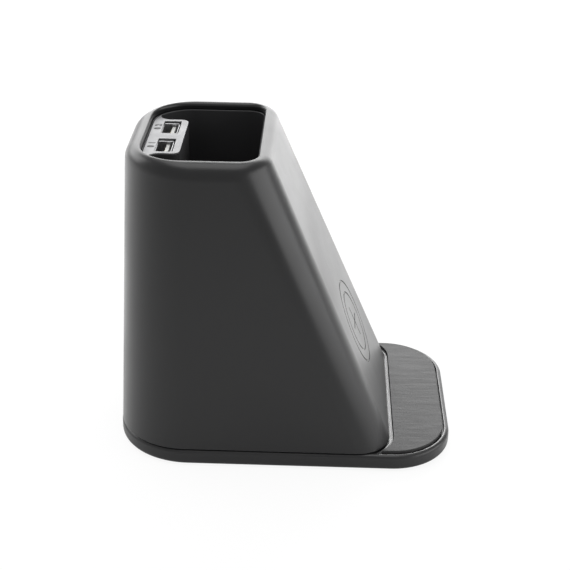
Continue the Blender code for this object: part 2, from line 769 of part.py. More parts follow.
def make_socket_board(board_surface, steel):
    """The socket board in the dock, held up against its bosses by two screws."""
    half_width = DOCK_WIDTH / 2 - DOCK_WALL - GAP
    front = DOCK_FRONT + DOCK_WALL + GAP
    corner_x, corner_y = CUP_MOUTH.corner_centre(1, 1)
    beyond = max(half_width - corner_x, 0)
    rear = corner_y + math.sqrt((CUP_MOUTH.rear_corner - GAP) ** 2 - beyond**2)
    edge = Outline(front, rear, half_width, BOARD_CORNER, BOARD_CORNER)
    board = prism(
        "socket_board",
        edge.ring(0, EDGE_STEPS),
        DOCK_BOARD_UNDERSIDE,
        DOCK_BOARD_TOP,
        board_surface,
    )
    for end, y in dock_screw_places():
        low, high = DOCK_BOARD_UNDERSIDE - CUT_OVERRUN, DOCK_BOARD_TOP + CUT_OVERRUN
        hole = cylinder(f"dock_board_hole_{end}", SMALL_SCREW_RADIUS + GAP, low, high)
        cut(board, placed(hole, 0, y))
        held = screw(
            f"socket_board_screw_{end}",
            SMALL_SCREW_RADIUS,
            SMALL_SCREW_HEAD_RADIUS,
            SMALL_SCREW_HEAD,
            DOCK_SCREW_LENGTH,
            steel,
        )
        placed(held, 0, y, DOCK_BOARD_UNDERSIDE - GAP)
    return board


def make_main_board(board_surface, steel):
    """The charger board on its four posts, screwed down from above."""
    half_width = MAIN_BOARD_WIDTH / 2
    edge = Outline(MAIN_BOARD_FRONT, MAIN_BOARD_REAR, half_width, BOARD_CORNER, BOARD_CORNER)
    board = prism(
        "charger_board", edge.ring(0, EDGE_STEPS), MAIN_BOARD_UNDERSIDE, MAIN_BOARD_TOP, board_surface
    )
    for name, x, y in post_places():
        low, high = MAIN_BOARD_UNDERSIDE - CUT_OVERRUN, MAIN_BOARD_TOP + CUT_OVERRUN
        hole = cylinder(f"board_hole_{name}", SMALL_SCREW_RADIUS + GAP, low, high)
        cut(board, placed(hole, x, y))
        held = screw(
            f"board_screw_{name}",
            SMALL_SCREW_RADIUS,
            SMALL_SCREW_HEAD_RADIUS,
            SMALL_SCREW_HEAD,
            BOARD_SCREW_LENGTH,
            steel,
        )
        held.rotation_euler = (math.pi, 0, 0)
        placed(held, x, y, MAIN_BOARD_TOP + GAP)
    return board


def make_board_parts(black, grey, metal, white):
    """What stands on the charger board: chip, inductor, capacitor and the leads' sockets."""
    seat = MAIN_BOARD_TOP + GAP
    middle = (MAIN_BOARD_FRONT + MAIN_BOARD_REAR) / 2
    quarter = MAIN_BOARD_WIDTH / 4
    chip = Outline(-CHIP_SIDE / 2, CHIP_SIDE / 2, CHIP_SIDE / 2, SMALLEST_CORNER, SMALLEST_CORNER)
    driver = prism("driver_chip", chip.ring(0, EDGE_STEPS), 0, CHIP_HEIGHT, black)
    placed(driver, -quarter, middle, seat)
    side = INDUCTOR_SIDE / 2
    drum = Outline(-side, side, side, INDUCTOR_CORNER, INDUCTOR_CORNER)
    inductor = prism("power_inductor", drum.ring(0, EDGE_STEPS), 0, INDUCTOR_HEIGHT, grey)
    placed(inductor, quarter, middle - INDUCTOR_SIDE / 2, seat)
    can = cylinder("filter_capacitor", CAPACITOR_RADIUS, 0, CAPACITOR_HEIGHT, SCREW_SIDES, metal)
    placed(can, -quarter, middle + INDUCTOR_SIDE, seat)

    half = LEAD_HEADER_WIDTH / 2
    front = MAIN_BOARD_FRONT + GAP
    block(
        "coil_lead_header",
        (-half, front, seat),
        (half, front + LEAD_HEADER_DEPTH, seat + LEAD_HEADER_HEIGHT),
        white,
    )
    depth = LEAD_HEADER_DEPTH / 2
    block(
        "socket_lead_header",
        (SOCKET_LEAD_OFFSET - half, SOCKET_MIDDLE - depth, seat),
        (SOCKET_LEAD_OFFSET + half, SOCKET_MIDDLE + depth, seat + LEAD_HEADER_HEIGHT),
        white,
    )


def make_inlet(metal, plastic):
    """The power inlet on the back edge of the charger board, just inside the shell's slot."""
    centre = MAIN_BOARD_TOP + GAP + INLET_HEIGHT / 2
    mouth = body_outline(centre).rear - INLET_RECESS
    outer = stadium(INLET_WIDTH / 2, INLET_HEIGHT / 2)
    bore = stadium(INLET_WIDTH / 2 - INLET_SHEET, INLET_HEIGHT / 2 - INLET_SHEET)
    shell = lying(prism("inlet_shell", outer, 0, INLET_LENGTH, metal), mouth)
    cut(shell, lying(prism("inlet_bore", bore, -CUT_OVERRUN, INLET_LENGTH + CUT_OVERRUN), mouth))

    filling = INLET_SHEET + GAP
    plug = stadium(INLET_WIDTH / 2 - filling, INLET_HEIGHT / 2 - filling)
    block_start = INLET_LENGTH - INLET_BLOCK_LENGTH
    tongue = lying(prism("inlet_tongue", plug, block_start, INLET_LENGTH, plastic), mouth)
    half_width, half_height = INLET_TONGUE_WIDTH / 2, INLET_TONGUE_THICKNESS / 2
    blade = block(
        "inlet_blade",
        (-half_width, -half_height, INLET_TONGUE_DROP),
        (half_width, half_height, block_start + INLET_BLOCK_LENGTH / 2),
    )
    fuse(tongue, lying(blade, mouth))


def make_base_tray(surface):
    """The base: a rounded skirt and a deck, with the pad's recess, the shell's spigot and posts."""
    rings = [BASE.inset(SKIRT_WALL).ring(DECK_UNDERSIDE), BASE.inset(SKIRT_WALL).ring(BASE_FLOOR)]
    for step in range(EDGE_STEPS + 1):
        angle = math.pi / 2 * step / EDGE_STEPS
        height = BASE_FLOOR + BASE_LOWER_ROUND * (1 - math.cos(angle))
        rings.append(BASE.inset(BASE_LOWER_ROUND * (1 - math.sin(angle))).ring(height))
    for step in range(EDGE_STEPS + 1):
        angle = math.pi / 2 * step / EDGE_STEPS
        height = RIM_HEIGHT - BASE_UPPER_ROUND * (1 - math.sin(angle))
        rings.append(BASE.inset(BASE_UPPER_ROUND * (1 - math.cos(angle))).ring(height))
    tray = loft("base_tray", rings, surface)

    root = RIM_HEIGHT - DECK_THICKNESS / 2
    spigot_top = RIM_HEIGHT + SPIGOT_HEIGHT
    outside, inside = SHELL_WALL + GAP, SHELL_WALL + GAP + SPIGOT_WALL
    spigot_rings = [
        body_outline(height).inset(inset).ring(height)
        for inset, height in (
            (outside, root), (outside, spigot_top), (inside, spigot_top), (inside, root)
        )
    ]
    spigot = loft("spigot", spigot_rings, closed=True)
    for name, x, y in case_screw_places():
        low, high = root - CUT_OVERRUN, spigot_top + CUT_OVERRUN
        cut(spigot, placed(cylinder(f"spigot_gap_{name}", SHELL_BOSS_RADIUS + GAP, low, high), x, y))
    fuse(tray, spigot)
    for name, x, y in post_places():
        post = cylinder(f"board_post_{name}", POST_RADIUS, root, MAIN_BOARD_UNDERSIDE - GAP)
        fuse(tray, placed(post, x, y))

    recess = ledge_outline(LEDGE_RIM, LEDGE_INNER_RIM)
    cut(tray, prism("pad_recess", recess, RIM_HEIGHT - LEDGE_RECESS, RIM_HEIGHT + CUT_OVERRUN))
    for name, x, y in case_screw_places():
        low, high = DECK_UNDERSIDE - CUT_OVERRUN, RIM_HEIGHT + CUT_OVERRUN
        cut(tray, placed(cylinder(f"deck_hole_{name}", CASE_SCREW_RADIUS + GAP, low, high), x, y))
    for name, x, y in post_places():
        low = MAIN_BOARD_TOP - BOARD_SCREW_LENGTH - GAP
        high = MAIN_BOARD_UNDERSIDE + CUT_OVERRUN
        cut(tray, placed(cylinder(f"post_pilot_{name}", SMALL_SCREW_RADIUS + GAP, low, high), x, y))
    return tray


def make_bottom_cover(surface):
    """The plate that closes the base from below, with screw bosses and pockets for the feet."""
    top = BASE_FLOOR + COVER_THICKNESS
    cover = prism("bottom_cover", COVER.ring(0), BASE_FLOOR, top, surface)
    web = CASE_SCREW_SEAT + GAP
    for name, x, y in case_screw_places():
        low, high = top - COVER_THICKNESS / 2, DECK_UNDERSIDE - GAP
        boss = cylinder(f"cover_boss_{name}", COVER_BOSS_RADIUS, low, high)
        fuse(cover, placed(boss, x, y))
    head_hole, hole = CASE_SCREW_HEAD_RADIUS + GAP, CASE_SCREW_RADIUS + GAP
    below, above = BASE_FLOOR - CUT_OVERRUN, DECK_UNDERSIDE + CUT_OVERRUN
    profile = ((0, below), (head_hole, below), (head_hole, web), (hole, web), (hole, above), (0, above))
    for name, x, y in case_screw_places():
        cut(cover, placed(turned(f"cover_hole_{name}", profile, SCREW_SIDES), x, y))
    for name, x, y in foot_places():
        pocket_top = FOOT_THICKNESS + GAP
        below = BASE_FLOOR - CUT_OVERRUN
        pocket = cylinder(f"foot_pocket_{name}", FOOT_RADIUS + GAP, below, pocket_top, FOOT_SIDES)
        cut(cover, placed(pocket, x, y))
    return cover


def make_feet(surface):
    """Four round rubber feet in their pockets."""
    for name, x, y in foot_places():
        profile = (
            (0, 0),
            (FOOT_RADIUS - FOOT_EDGE, 0),
            (FOOT_RADIUS, FOOT_EDGE),
            (FOOT_RADIUS, FOOT_THICKNESS),
            (0, FOOT_THICKNESS),
        )
        placed(turned(f"rubber_foot_{name}", profile, FOOT_SIDES, surface), x, y)


def make_case_screws(surface):
    """Four long screws from the bottom cover, through the deck, into the shell."""
    for name, x, y in case_screw_places():
        held = screw(
            f"case_screw_{name}",
            CASE_SCREW_RADIUS,
            CASE_SCREW_HEAD_RADIUS,
            CASE_SCREW_HEAD,
            CASE_SCREW_LENGTH,
            surface,
        )
        placed(held, x, y, CASE_SCREW_SEAT)


def make_ledge_pad(surface):
    """The rubber pad that the phone stands on, a little proud of the rim."""
    rim, inner_rim = LEDGE_RIM + LEDGE_GROOVE, LEDGE_INNER_RIM + LEDGE_GROOVE
    low = RIM_HEIGHT - LEDGE_RECESS + GAP
    high = low + PAD_THICKNESS
    edge = ledge_outline(rim, inner_rim)
    top = ledge_outline(rim + PAD_EDGE, inner_rim + PAD_EDGE)
    return loft(
        "ledge_pad", [raised(edge, low), raised(edge, high - PAD_EDGE), raised(top, high)], surface
    )


def carrier_stack():
    """Depth from the slope's inner face to the carrier plate: wire, ferrite and their gaps."""
    return GAP + COIL_WIRE + GAP + FERRITE_THICKNESS + GAP


def coil_route():
    """A flat spiral that ends below the coil's centre, with a straight wire's width at each end."""
    depth = -GAP - COIL_WIRE / 2
    count = COIL_TURNS * COIL_POINTS_PER_TURN
    points = []
    for number in range(count + 1):
        turn = number / COIL_POINTS_PER_TURN
        radius = COIL_INNER_RADIUS + COIL_PITCH * turn
        angle = math.tau * turn - math.pi / 2
        points.append(Vector((radius * math.cos(angle), radius * math.sin(angle), depth)))
    first = points[0] + (points[0] - points[1]).normalized() * COIL_WIRE
    last = points[-1] + (points[-1] - points[-2]).normalized() * COIL_WIRE
    return [first, *points, last]


def least_gap(route, diameter):
    """Least clear distance between parts of a tube that are more than half a turn apart."""
    away = COIL_POINTS_PER_TURN // 2
    nearest = min(
        (route[a] - route[b]).length for a in range(len(route)) for b in range(a + away, len(route))
    )
    return nearest - diameter


def make_coil(frame, copper, dark, plastic, steel):
    """The charging coil on its ferrite disc, in a carrier screwed to the back of the slope."""
    route = coil_route()
    print(f"coil: least gap to itself {least_gap(route, COIL_WIRE) * 1000:.2f} mm")
    placed(tube("charging_coil", route, COIL_WIRE, copper, 1), parent=frame)
    disc_top = -GAP - COIL_WIRE - GAP
    disc = cylinder(
        "ferrite_sheet", FERRITE_RADIUS, disc_top - FERRITE_THICKNESS, disc_top, 2 * FOOT_SIDES, dark
    )
    placed(disc, parent=frame)

    plate_top = -carrier_stack()
    side = CARRIER_SIDE / 2
    edge = Outline(-side, side, side, CARRIER_CORNER, CARRIER_CORNER)
    plate_low = plate_top - CARRIER_THICKNESS
    carrier = prism("coil_carrier", edge.ring(0, EDGE_STEPS), plate_low, plate_top, plastic)
    placed(carrier, parent=frame)
    rim_inside = FERRITE_RADIUS + GAP
    rim_low = plate_top - CARRIER_THICKNESS / 2
    rim = cylinder("carrier_rim", CARRIER_RIM_RADIUS, rim_low, -GAP, 2 * FOOT_SIDES)
    room = cylinder("carrier_room", rim_inside, plate_top, CUT_OVERRUN, 2 * FOOT_SIDES)
    window = cylinder(
        "carrier_window", CARRIER_WINDOW_RADIUS, plate_low - CUT_OVERRUN, CUT_OVERRUN, FOOT_SIDES
    )
    notch_half = CARRIER_NOTCH / 2
    notch = block(
        "carrier_notch",
        (-notch_half, -CARRIER_RIM_RADIUS - CUT_OVERRUN, plate_top),
        (notch_half, -rim_inside + CUT_OVERRUN, CUT_OVERRUN),
    )
    fuse(carrier, placed(rim, parent=frame))
    cut(carrier, *(placed(helper, parent=frame) for helper in (room, window, notch)))
    for name, x, y in carrier_screw_places():
        low, high = plate_low - CUT_OVERRUN, plate_top + CUT_OVERRUN
        hole = cylinder(f"carrier_hole_{name}", SMALL_SCREW_RADIUS + GAP, low, high)
        cut(carrier, placed(hole, x, y, parent=frame))
        held = screw(
            f"carrier_screw_{name}",
            SMALL_SCREW_RADIUS,
            SMALL_SCREW_HEAD_RADIUS,
            SMALL_SCREW_HEAD,
            -plate_low - GAP,
            steel,
        )
        placed(held, x, y, plate_low - GAP, parent=frame)


def make_leads(surface):
    """The two leads inside: up the dock to the sockets, and from the coil to the charger board."""
    start = MAIN_BOARD_TOP + GAP + LEAD_HEADER_HEIGHT + GAP
    stop = DOCK_BOARD_UNDERSIDE - GAP
    straight = 2 * SOCKET_LEAD_DIAMETER
    middle = (start + stop) / 2
    upright = [
        Vector((SOCKET_LEAD_OFFSET, SOCKET_MIDDLE, height))
        for height in (start, start + straight, middle, stop - straight, stop)
    ]
    upright[2].x += SOCKET_LEAD_BOW
    spacing = LEAD_SPACING_DIAMETERS * SOCKET_LEAD_DIAMETER
    tube("socket_lead", smooth_route(upright, spacing), SOCKET_LEAD_DIAMETER, surface, 2)

    depth = GAP + COIL_LEAD_DIAMETER / 2 + GAP
    edge = COIL_RADIUS + COIL_WIRE / 2 + GAP
    leave = CARRIER_SIDE / 2 + COIL_LEAD_DIAMETER
    entry = Vector((0, MAIN_BOARD_FRONT, MAIN_BOARD_TOP + GAP + LEAD_HEADER_HEIGHT / 2))
    before = entry - Vector((0, 2 * COIL_LEAD_DIAMETER, 0))
    drop = Vector((0, -COIL_LEAD_SLACK / 2, COIL_LEAD_SLACK / 2))
    route = [
        slope_point(-edge, depth),
        slope_point(-leave, depth),
        slope_point(-leave - COIL_LEAD_SLACK, depth + COIL_LEAD_SLACK / 2),
        before + drop,
        before,
        entry,
    ]
    spacing = LEAD_SPACING_DIAMETERS * COIL_LEAD_DIAMETER
    tube("coil_lead", smooth_route(route, spacing), COIL_LEAD_DIAMETER, surface, 2)


def build():
    """Makes every piece of the pen holder."""
    clear_scene()
    soft_black = material("soft_touch_black", (0.030, 0.030, 0.032), 0.42)
    cup_black = material("cup_black", (0.012, 0.012, 0.013), 0.5)
    base_black = material("base_black", (0.028, 0.028, 0.030), 0.38)
    cover_black = material("cover_black", (0.020, 0.020, 0.021), 0.6)
    pad_grey = material("pad_rubber", (0.060, 0.060, 0.062), 0.8)
    silver_paint = material("silver_paint", (0.60, 0.60, 0.61), 0.35, 0.3)
    steel = material("bright_steel", (0.62, 0.62, 0.63), 0.25, 1)
    white = material("white_plastic", (0.75, 0.75, 0.73), 0.45)
    gold = material("contact_gold", (0.85, 0.62, 0.25), 0.3, 1)
    board_green = material("board_green", (0.02, 0.16, 0.06), 0.4)
    chip_black = material("chip_black", (0.015, 0.015, 0.016), 0.5)
    ferrite = material("ferrite_grey", (0.06, 0.06, 0.065), 0.7)
    copper = material("coil_copper", (0.72, 0.34, 0.16), 0.35, 1)
    lead_black = material("lead_black", (0.02, 0.02, 0.02), 0.55)
    rubber = material("foot_rubber", (0.025, 0.025, 0.026), 0.85)

    frame = slope_frame()
    make_outer_shell(soft_black, frame)
    make_pen_cup(cup_black)
    make_base_tray(base_black)
    make_bottom_cover(cover_black)
    make_ledge_pad(pad_grey)
    make_socket_plate(silver_paint)
    for side, x in socket_places():
        make_socket(side, x, steel, white, gold)
    make_socket_board(board_green, steel)
    make_main_board(board_green, steel)
    make_board_parts(chip_black, ferrite, steel, white)
    make_inlet(steel, chip_black)
    make_coil(frame, copper, ferrite, chip_black, steel)
    make_leads(lead_black)
    make_feet(rubber)
    make_case_screws(steel)


build()
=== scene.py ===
"""Looks of the wireless charger pen holder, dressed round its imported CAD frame.

A satin black wedge with a rolled-over mouth holds pens. Two power sockets face up at the back of
the cup, and a phone stands on the rubber pad of the base while it charges against the slope.
All sizes are metres, +Z is up, the front is towards -Y and the desk is at height zero.
"""

import logging
import math
from dataclasses import astuple, dataclass, field, replace
from enum import Enum
from functools import cache
from typing import Callable, Iterable, Iterator, Sequence

import bmesh
import bpy
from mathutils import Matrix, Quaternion, Vector


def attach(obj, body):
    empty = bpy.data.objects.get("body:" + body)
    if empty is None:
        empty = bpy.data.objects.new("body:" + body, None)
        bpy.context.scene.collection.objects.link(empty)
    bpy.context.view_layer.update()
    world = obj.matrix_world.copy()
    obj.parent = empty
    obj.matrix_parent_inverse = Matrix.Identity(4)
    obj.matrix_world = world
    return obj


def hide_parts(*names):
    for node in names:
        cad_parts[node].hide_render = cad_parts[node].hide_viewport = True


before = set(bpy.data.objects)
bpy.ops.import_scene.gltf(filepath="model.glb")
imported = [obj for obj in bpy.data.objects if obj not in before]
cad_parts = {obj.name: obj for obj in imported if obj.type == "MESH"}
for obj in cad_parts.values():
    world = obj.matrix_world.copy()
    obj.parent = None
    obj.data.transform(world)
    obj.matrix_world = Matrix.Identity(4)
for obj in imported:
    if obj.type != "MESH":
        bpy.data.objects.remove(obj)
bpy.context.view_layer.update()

Piece = bpy.types.Object
Material = bpy.types.Material
Socket = bpy.types.NodeSocket
Colour = tuple[float, float, float]

LOG = logging.getLogger("pen_holder")
ROOT = "root"
TOUCH = 0.0003
OVERRUN = 0.002
NEAR = 1e-6
DRAFT = 0.00005
SHARP = math.radians(32)
STEEP = math.radians(60)
FACING = 0.9
ROUND_PROFILE = 0.5
ROUND_SIDES = 32
SLOT_STEPS = 12
FACE_WEIGHT = 100
EDGE_SAMPLES = 4
EDGE_LEVELS = (0.75, 0.99)
LEFT_AND_RIGHT = (("left", -1), ("right", 1))


class Part(Enum):
    """The elements of a mesh that are picked, with the name of each one's select mode."""

    CORNERS = "VERT"
    EDGES = "EDGE"
    FACES = "FACE"


class Join(Enum):
    """How a tool acts on a piece, with the name of each Boolean's operation."""

    ADD = "UNION"
    CUT = "DIFFERENCE"
    KEEP = "INTERSECT"


@dataclass(frozen=True)
class Outline:
    """A rounded rectangle seen from above, even about the middle plane of the object."""

    front: float
    rear: float
    half_width: float
    front_corner: float
    rear_corner: float

    def inset(self, amount: float) -> "Outline":
        """Moves the outline inwards.

        Args:
            amount: Distance inwards; a negative one moves it outwards.

        Returns:
            The moved outline.
        """
        return Outline(
            self.front + amount,
            self.rear - amount,
            self.half_width - amount,
            self.front_corner - amount,
            self.rear_corner - amount,
        )

    def blend(self, other: "Outline", share: float) -> "Outline":
        """The outline that is a share of the way from this one to another."""
        pairs = zip(astuple(self), astuple(other))
        return Outline(*(a + (b - a) * share for a, b in pairs))

    def distance(self, x: float, y: float) -> float:
        """How far a point lies outside the outline.

        Args:
            x: The point's place across.
            y: The point's place in depth.

        Returns:
            The distance, negative inside.
        """
        middle = (self.front + self.rear) / 2
        radius = self.front_corner if y < middle else self.rear_corner
        edge = self.rear - middle
        beside = abs(x) - (self.half_width - radius)
        beyond = abs(y - middle) - (edge - radius)
        if beside > 0 and beyond > 0:
            return math.hypot(beside, beyond) - radius
        return max(beside, beyond) - radius

    def rear_corner_centre(self) -> tuple[float, float]:
        """Centre of the rear right corner's arc, as x and y."""
        return self.half_width - self.rear_corner, self.rear - self.rear_corner


Ring = tuple[Outline, float]
Profile = Sequence[tuple[float, float]]


class Bench:
    """A mesh on the bench: it is shaped in edit mode with mesh operators, then taken off."""

    def __init__(self, name: str) -> None:
        """Puts an empty mesh on the bench and opens it for editing.

        Args:
            name: Name of the piece.
        """
        bpy.ops.object.select_all(action="DESELECT")
        bpy.ops.object.add(type="MESH", enter_editmode=True, location=(0, 0, 0))
        self.piece = bpy.context.object
        self.piece.name = self.piece.data.name = name

    @classmethod
    def reopen(cls, piece: Piece) -> "Bench":
        """Puts a finished piece back on the bench.

        Args:
            piece: The piece.

        Returns:
            Its bench.
        """
        bench = cls.__new__(cls)
        activate(piece)
        bpy.ops.object.mode_set(mode="EDIT")
        bpy.ops.mesh.select_all(action="DESELECT")
        bench.piece = piece
        return bench

    def pick(self, part: Part, wanted: Callable[..., bool]) -> set[int]:
        """Selects what a test accepts and nothing else.

        Args:
            part: Whether the test is put to corners, edges or faces.
            wanted: The test, which gets one bmesh element.

        Returns:
            The indices of what was selected.
        """
        bpy.ops.mesh.select_mode(type=part.value)
        sketch = bmesh.from_edit_mesh(self.piece.data)
        shown = (item for item in self._items(sketch, part) if not item.hide)
        chosen = {item.index for item in shown if wanted(item)}
        bpy.ops.mesh.select_all(action="DESELECT")
        sketch = bmesh.from_edit_mesh(self.piece.data)
        for item in self._items(sketch, part):
            if item.index in chosen:
                item.select_set(True)
        sketch.select_flush_mode()
        bmesh.update_edit_mesh(self.piece.data)
        return chosen

    def _items(self, sketch: bmesh.types.BMesh, part: Part) -> Sequence:
        """Lists the corners, edges or faces of the open mesh, with their indices up to date.

        Args:
            sketch: The open mesh.
            part: Which of them are listed.

        Returns:
            The elements.
        """
        items = {Part.CORNERS: sketch.verts, Part.EDGES: sketch.edges, Part.FACES: sketch.faces}
        items[part].index_update()
        return items[part]

    def grow_top(self, shift: Sequence[float]) -> None:
        """Extrudes the faces that lie at the top.

        Args:
            shift: How far along x, y and z.
        """
        top = max(corner.co.z for corner in bmesh.from_edit_mesh(self.piece.data).verts)
        self.pick(Part.FACES, lambda f: min(v.co.z for v in f.verts) > top - NEAR)
        self.grow(shift)

    def block(self, low: Sequence[float], high: Sequence[float]) -> None:
        """Adds a box between two corners, which stays selected.

        Args:
            low: Lowest x, y and z.
            high: Highest x, y and z.
        """
        bpy.ops.mesh.select_all(action="DESELECT")
        middle = [(a + b) / 2 for a, b in zip(low, high)]
        bpy.ops.mesh.primitive_cube_add(size=1, location=middle)
        size = [b - a for a, b in zip(low, high)]
        bpy.ops.transform.resize(value=size, center_override=middle)

    def rounded_ring(self, outline: Outline, height: float, steps: int) -> int:
        """Adds a rounded rectangle of edges at a height.

        Args:
            outline: The rounded rectangle.
            height: Its height.
            steps: Edges in each corner's arc.

        Returns:
            Number of the vertex group that its corners are put in.
        """
        bpy.ops.mesh.select_all(action="SELECT")
        bpy.ops.mesh.hide(unselected=False)
        middle = (0, (outline.front + outline.rear) / 2, height)
        size = (2 * outline.half_width, outline.rear - outline.front, 1)
        bpy.ops.mesh.primitive_plane_add(size=1, location=middle)
        bpy.ops.transform.resize(value=size, center_override=middle)
        ends = ((outline.front, outline.front_corner), (outline.rear, outline.rear_corner))
        for y, radius in ends:
            self.pick(
                Part.CORNERS,
                lambda v, y=y: (
                    abs(v.co.y - y) < NEAR and abs(abs(v.co.x) - outline.half_width) < NEAR
                ),
            )
            bpy.ops.mesh.bevel(
                offset=radius,
                offset_type="OFFSET",
                segments=steps,
                profile=ROUND_PROFILE,
                affect="VERTICES",
                clamp_overlap=False,
            )
        bpy.ops.mesh.select_all(action="SELECT")
        bpy.ops.mesh.delete(type="ONLY_FACE")
        bpy.ops.mesh.select_all(action="SELECT")
        bpy.ops.object.vertex_group_assign_new()
        bpy.ops.mesh.reveal(select=False)
        return self.piece.vertex_groups.active_index

    def pick_rings(self, *rings: int) -> None:
        """Selects the edges of some rings.

        Args:
            rings: Numbers of their vertex groups.
        """
        bpy.ops.mesh.select_mode(type="VERT")
        bpy.ops.mesh.select_all(action="DESELECT")
        for ring in rings:
            self.piece.vertex_groups.active_index = ring
            bpy.ops.object.vertex_group_select()
        bpy.ops.mesh.select_mode(type="EDGE")

    def bridge(self, first: int, second: int) -> None:
        """Skins two rings, given by their vertex groups' numbers, with one band of faces."""
        self.pick_rings(first, second)
        bpy.ops.mesh.bridge_edge_loops()

    def cap(self, ring: int) -> None:
        """Closes a ring, given by its vertex group's number, with a face."""
        self.pick_rings(ring)
        bpy.ops.mesh.edge_face_add()

    def loft(self, rings: Iterable[Ring], steps: int, closed: bool = False) -> None:
        """Skins rounded rectangles one after the other.

        Args:
            rings: Outlines with their heights, in order.
            steps: Edges in each corner's arc.
            closed: Joins the last ring to the first; otherwise both get a face.
        """
        made: list[int] = []
        for outline, height in rings:
            made.append(self.rounded_ring(outline, height, steps))
            if len(made) > 1:
                self.bridge(made[-2], made[-1])
        if closed:
            self.bridge(made[-1], made[0])
        else:
            self.cap(made[0])
            self.cap(made[-1])
        bpy.ops.object.vertex_group_remove(all=True)

    def start_line(self, x: float, y: float, height: float) -> None:
        """Puts down the first corner of a line that is then drawn with draw_to and draw_arc.

        Args:
            x: Its place across.
            y: Its place in depth.
            height: Its height.
        """
        bpy.ops.mesh.select_all(action="DESELECT")
        bpy.ops.mesh.primitive_plane_add(size=1, location=(x, y, height))
        bpy.ops.mesh.merge(type="CENTER")
        self.pen = Vector((x, y, height))

    def draw_to(self, x: float, y: float) -> None:
        """Extrudes the line's last corner straight to a point.

        Args:
            x: The point's place across.
            y: The point's place in depth.
        """
        reach = Vector((x, y, self.pen.z)) - self.pen
        bpy.ops.mesh.extrude_vertices_move(TRANSFORM_OT_translate={"value": reach})
        self.pen += reach

    def draw_arc(self, centre: tuple[float, float], angle: float, steps: int) -> None:
        """Spins the line's last corner about an upright axis.

        Args:
            centre: The axis, as x and y.
            angle: How far it turns, anticlockwise if positive.
            steps: Edges in the arc.
        """
        axis = (0, 0, -1 if angle > 0 else 1)
        middle = Vector((*centre, self.pen.z))
        bpy.ops.mesh.spin(steps=steps, angle=abs(angle), center=middle, axis=axis)
        arm = self.pen - middle
        cosine, sine = math.cos(angle), math.sin(angle)
        turned = Vector((arm.x * cosine - arm.y * sine, arm.x * sine + arm.y * cosine, 0))
        self.pen = middle + turned

    def draw_through(self, points: Sequence[Vector]) -> None:
        """Draws a line through points in space.

        Args:
            points: The points, from the first corner to the last.
        """
        self.start_line(*points[0])
        for point in points[1:]:
            bpy.ops.mesh.extrude_vertices_move(TRANSFORM_OT_translate={"value": point - self.pen})
            self.pen = point.copy()

    def revolve(self, profile: Profile, steps: int) -> None:
        """Draws a profile from the upright axis back to it, and spins it all the way round.

        Args:
            profile: Distances from the axis with their heights.
            steps: Faces round the axis.
        """
        self.draw_through([Vector((radius, 0, height)) for radius, height in profile])
        bpy.ops.mesh.select_all(action="SELECT")
        bpy.ops.mesh.spin(steps=steps, angle=math.tau, center=(0, 0, 0), axis=(0, 0, 1))

    def move(self, shift: Sequence[float]) -> None:
        """Moves the whole mesh along x, y and z."""
        self.pick(Part.CORNERS, lambda v: True)
        bpy.ops.transform.translate(value=shift)

    def cross(self, width: float, arm: float, low: float, high: float) -> None:
        """Adds an upright solid with the plan of a plus.

        Args:
            width: Width of its arms.
            arm: How far each arm reaches beyond the middle square.
            low: Its lowest height.
            high: Its highest height.
        """
        half = width / 2
        self.block((-half, -half, low), (half, half, high))
        for side in ((1, 0, 0), (-1, 0, 0), (0, 1, 0), (0, -1, 0)):
            way = Vector(side)
            self.pick(
                Part.FACES,
                lambda f, way=way: (
                    f.normal.dot(way) > FACING and f.calc_center_median().xy.length < width
                ),
            )
            self.grow(way * arm)

    def fill_line(self, rise: float) -> None:
        """Joins the drawn line's ends, fills it and extrudes it upwards.

        Args:
            rise: How far it rises.
        """
        bpy.ops.mesh.select_mode(type="VERT")
        bpy.ops.mesh.select_all(action="SELECT")
        bpy.ops.mesh.remove_doubles(threshold=NEAR)
        bpy.ops.mesh.edge_face_add()
        self.grow((0, 0, rise))

    def grow(self, shift: Sequence[float]) -> None:
        """Extrudes what is selected along x, y and z."""
        bpy.ops.mesh.extrude_region_move(TRANSFORM_OT_translate={"value": shift})

    def tip(self, angle: float) -> None:
        """Turns the whole mesh about the X axis; with no window the operator's sign is reversed."""
        self.pick(Part.CORNERS, lambda v: True)
        bpy.ops.transform.rotate(value=-angle, orient_axis="X", center_override=(0, 0, 0))

    def round_edges(self, width: float, steps: int, wanted: Callable[..., bool]) -> None:
        """Bevels the edges that a test accepts.

        Args:
            width: Radius of the rounding.
            steps: Faces across it.
            wanted: The test, which gets one bmesh edge.
        """
        if self.pick(Part.EDGES, wanted):
            bpy.ops.mesh.bevel(
                offset=width, segments=steps, profile=ROUND_PROFILE, affect="EDGES"
            )

    def take_off(self) -> Piece:
        """Merges doubles, points every face outwards and leaves edit mode.

        Returns:
            The finished piece.
        """
        bpy.ops.mesh.select_mode(type="VERT")
        bpy.ops.mesh.select_all(action="SELECT")
        bpy.ops.mesh.remove_doubles(threshold=NEAR)
        bpy.ops.mesh.normals_make_consistent(inside=False)
        bpy.ops.object.mode_set(mode="OBJECT")
        return self.piece


def activate(piece: Piece) -> None:
    """Makes one piece the active and only selected one.

    Args:
        piece: The piece.
    """
    bpy.ops.object.select_all(action="DESELECT")
    bpy.context.view_layer.objects.active = piece
    piece.select_set(True)


def apply_all(piece: Piece) -> None:
    """Applies every modifier of a piece, in order.

    Args:
        piece: The piece.
    """
    activate(piece)
    for modifier in list(piece.modifiers):
        bpy.ops.object.modifier_apply(modifier=modifier.name)


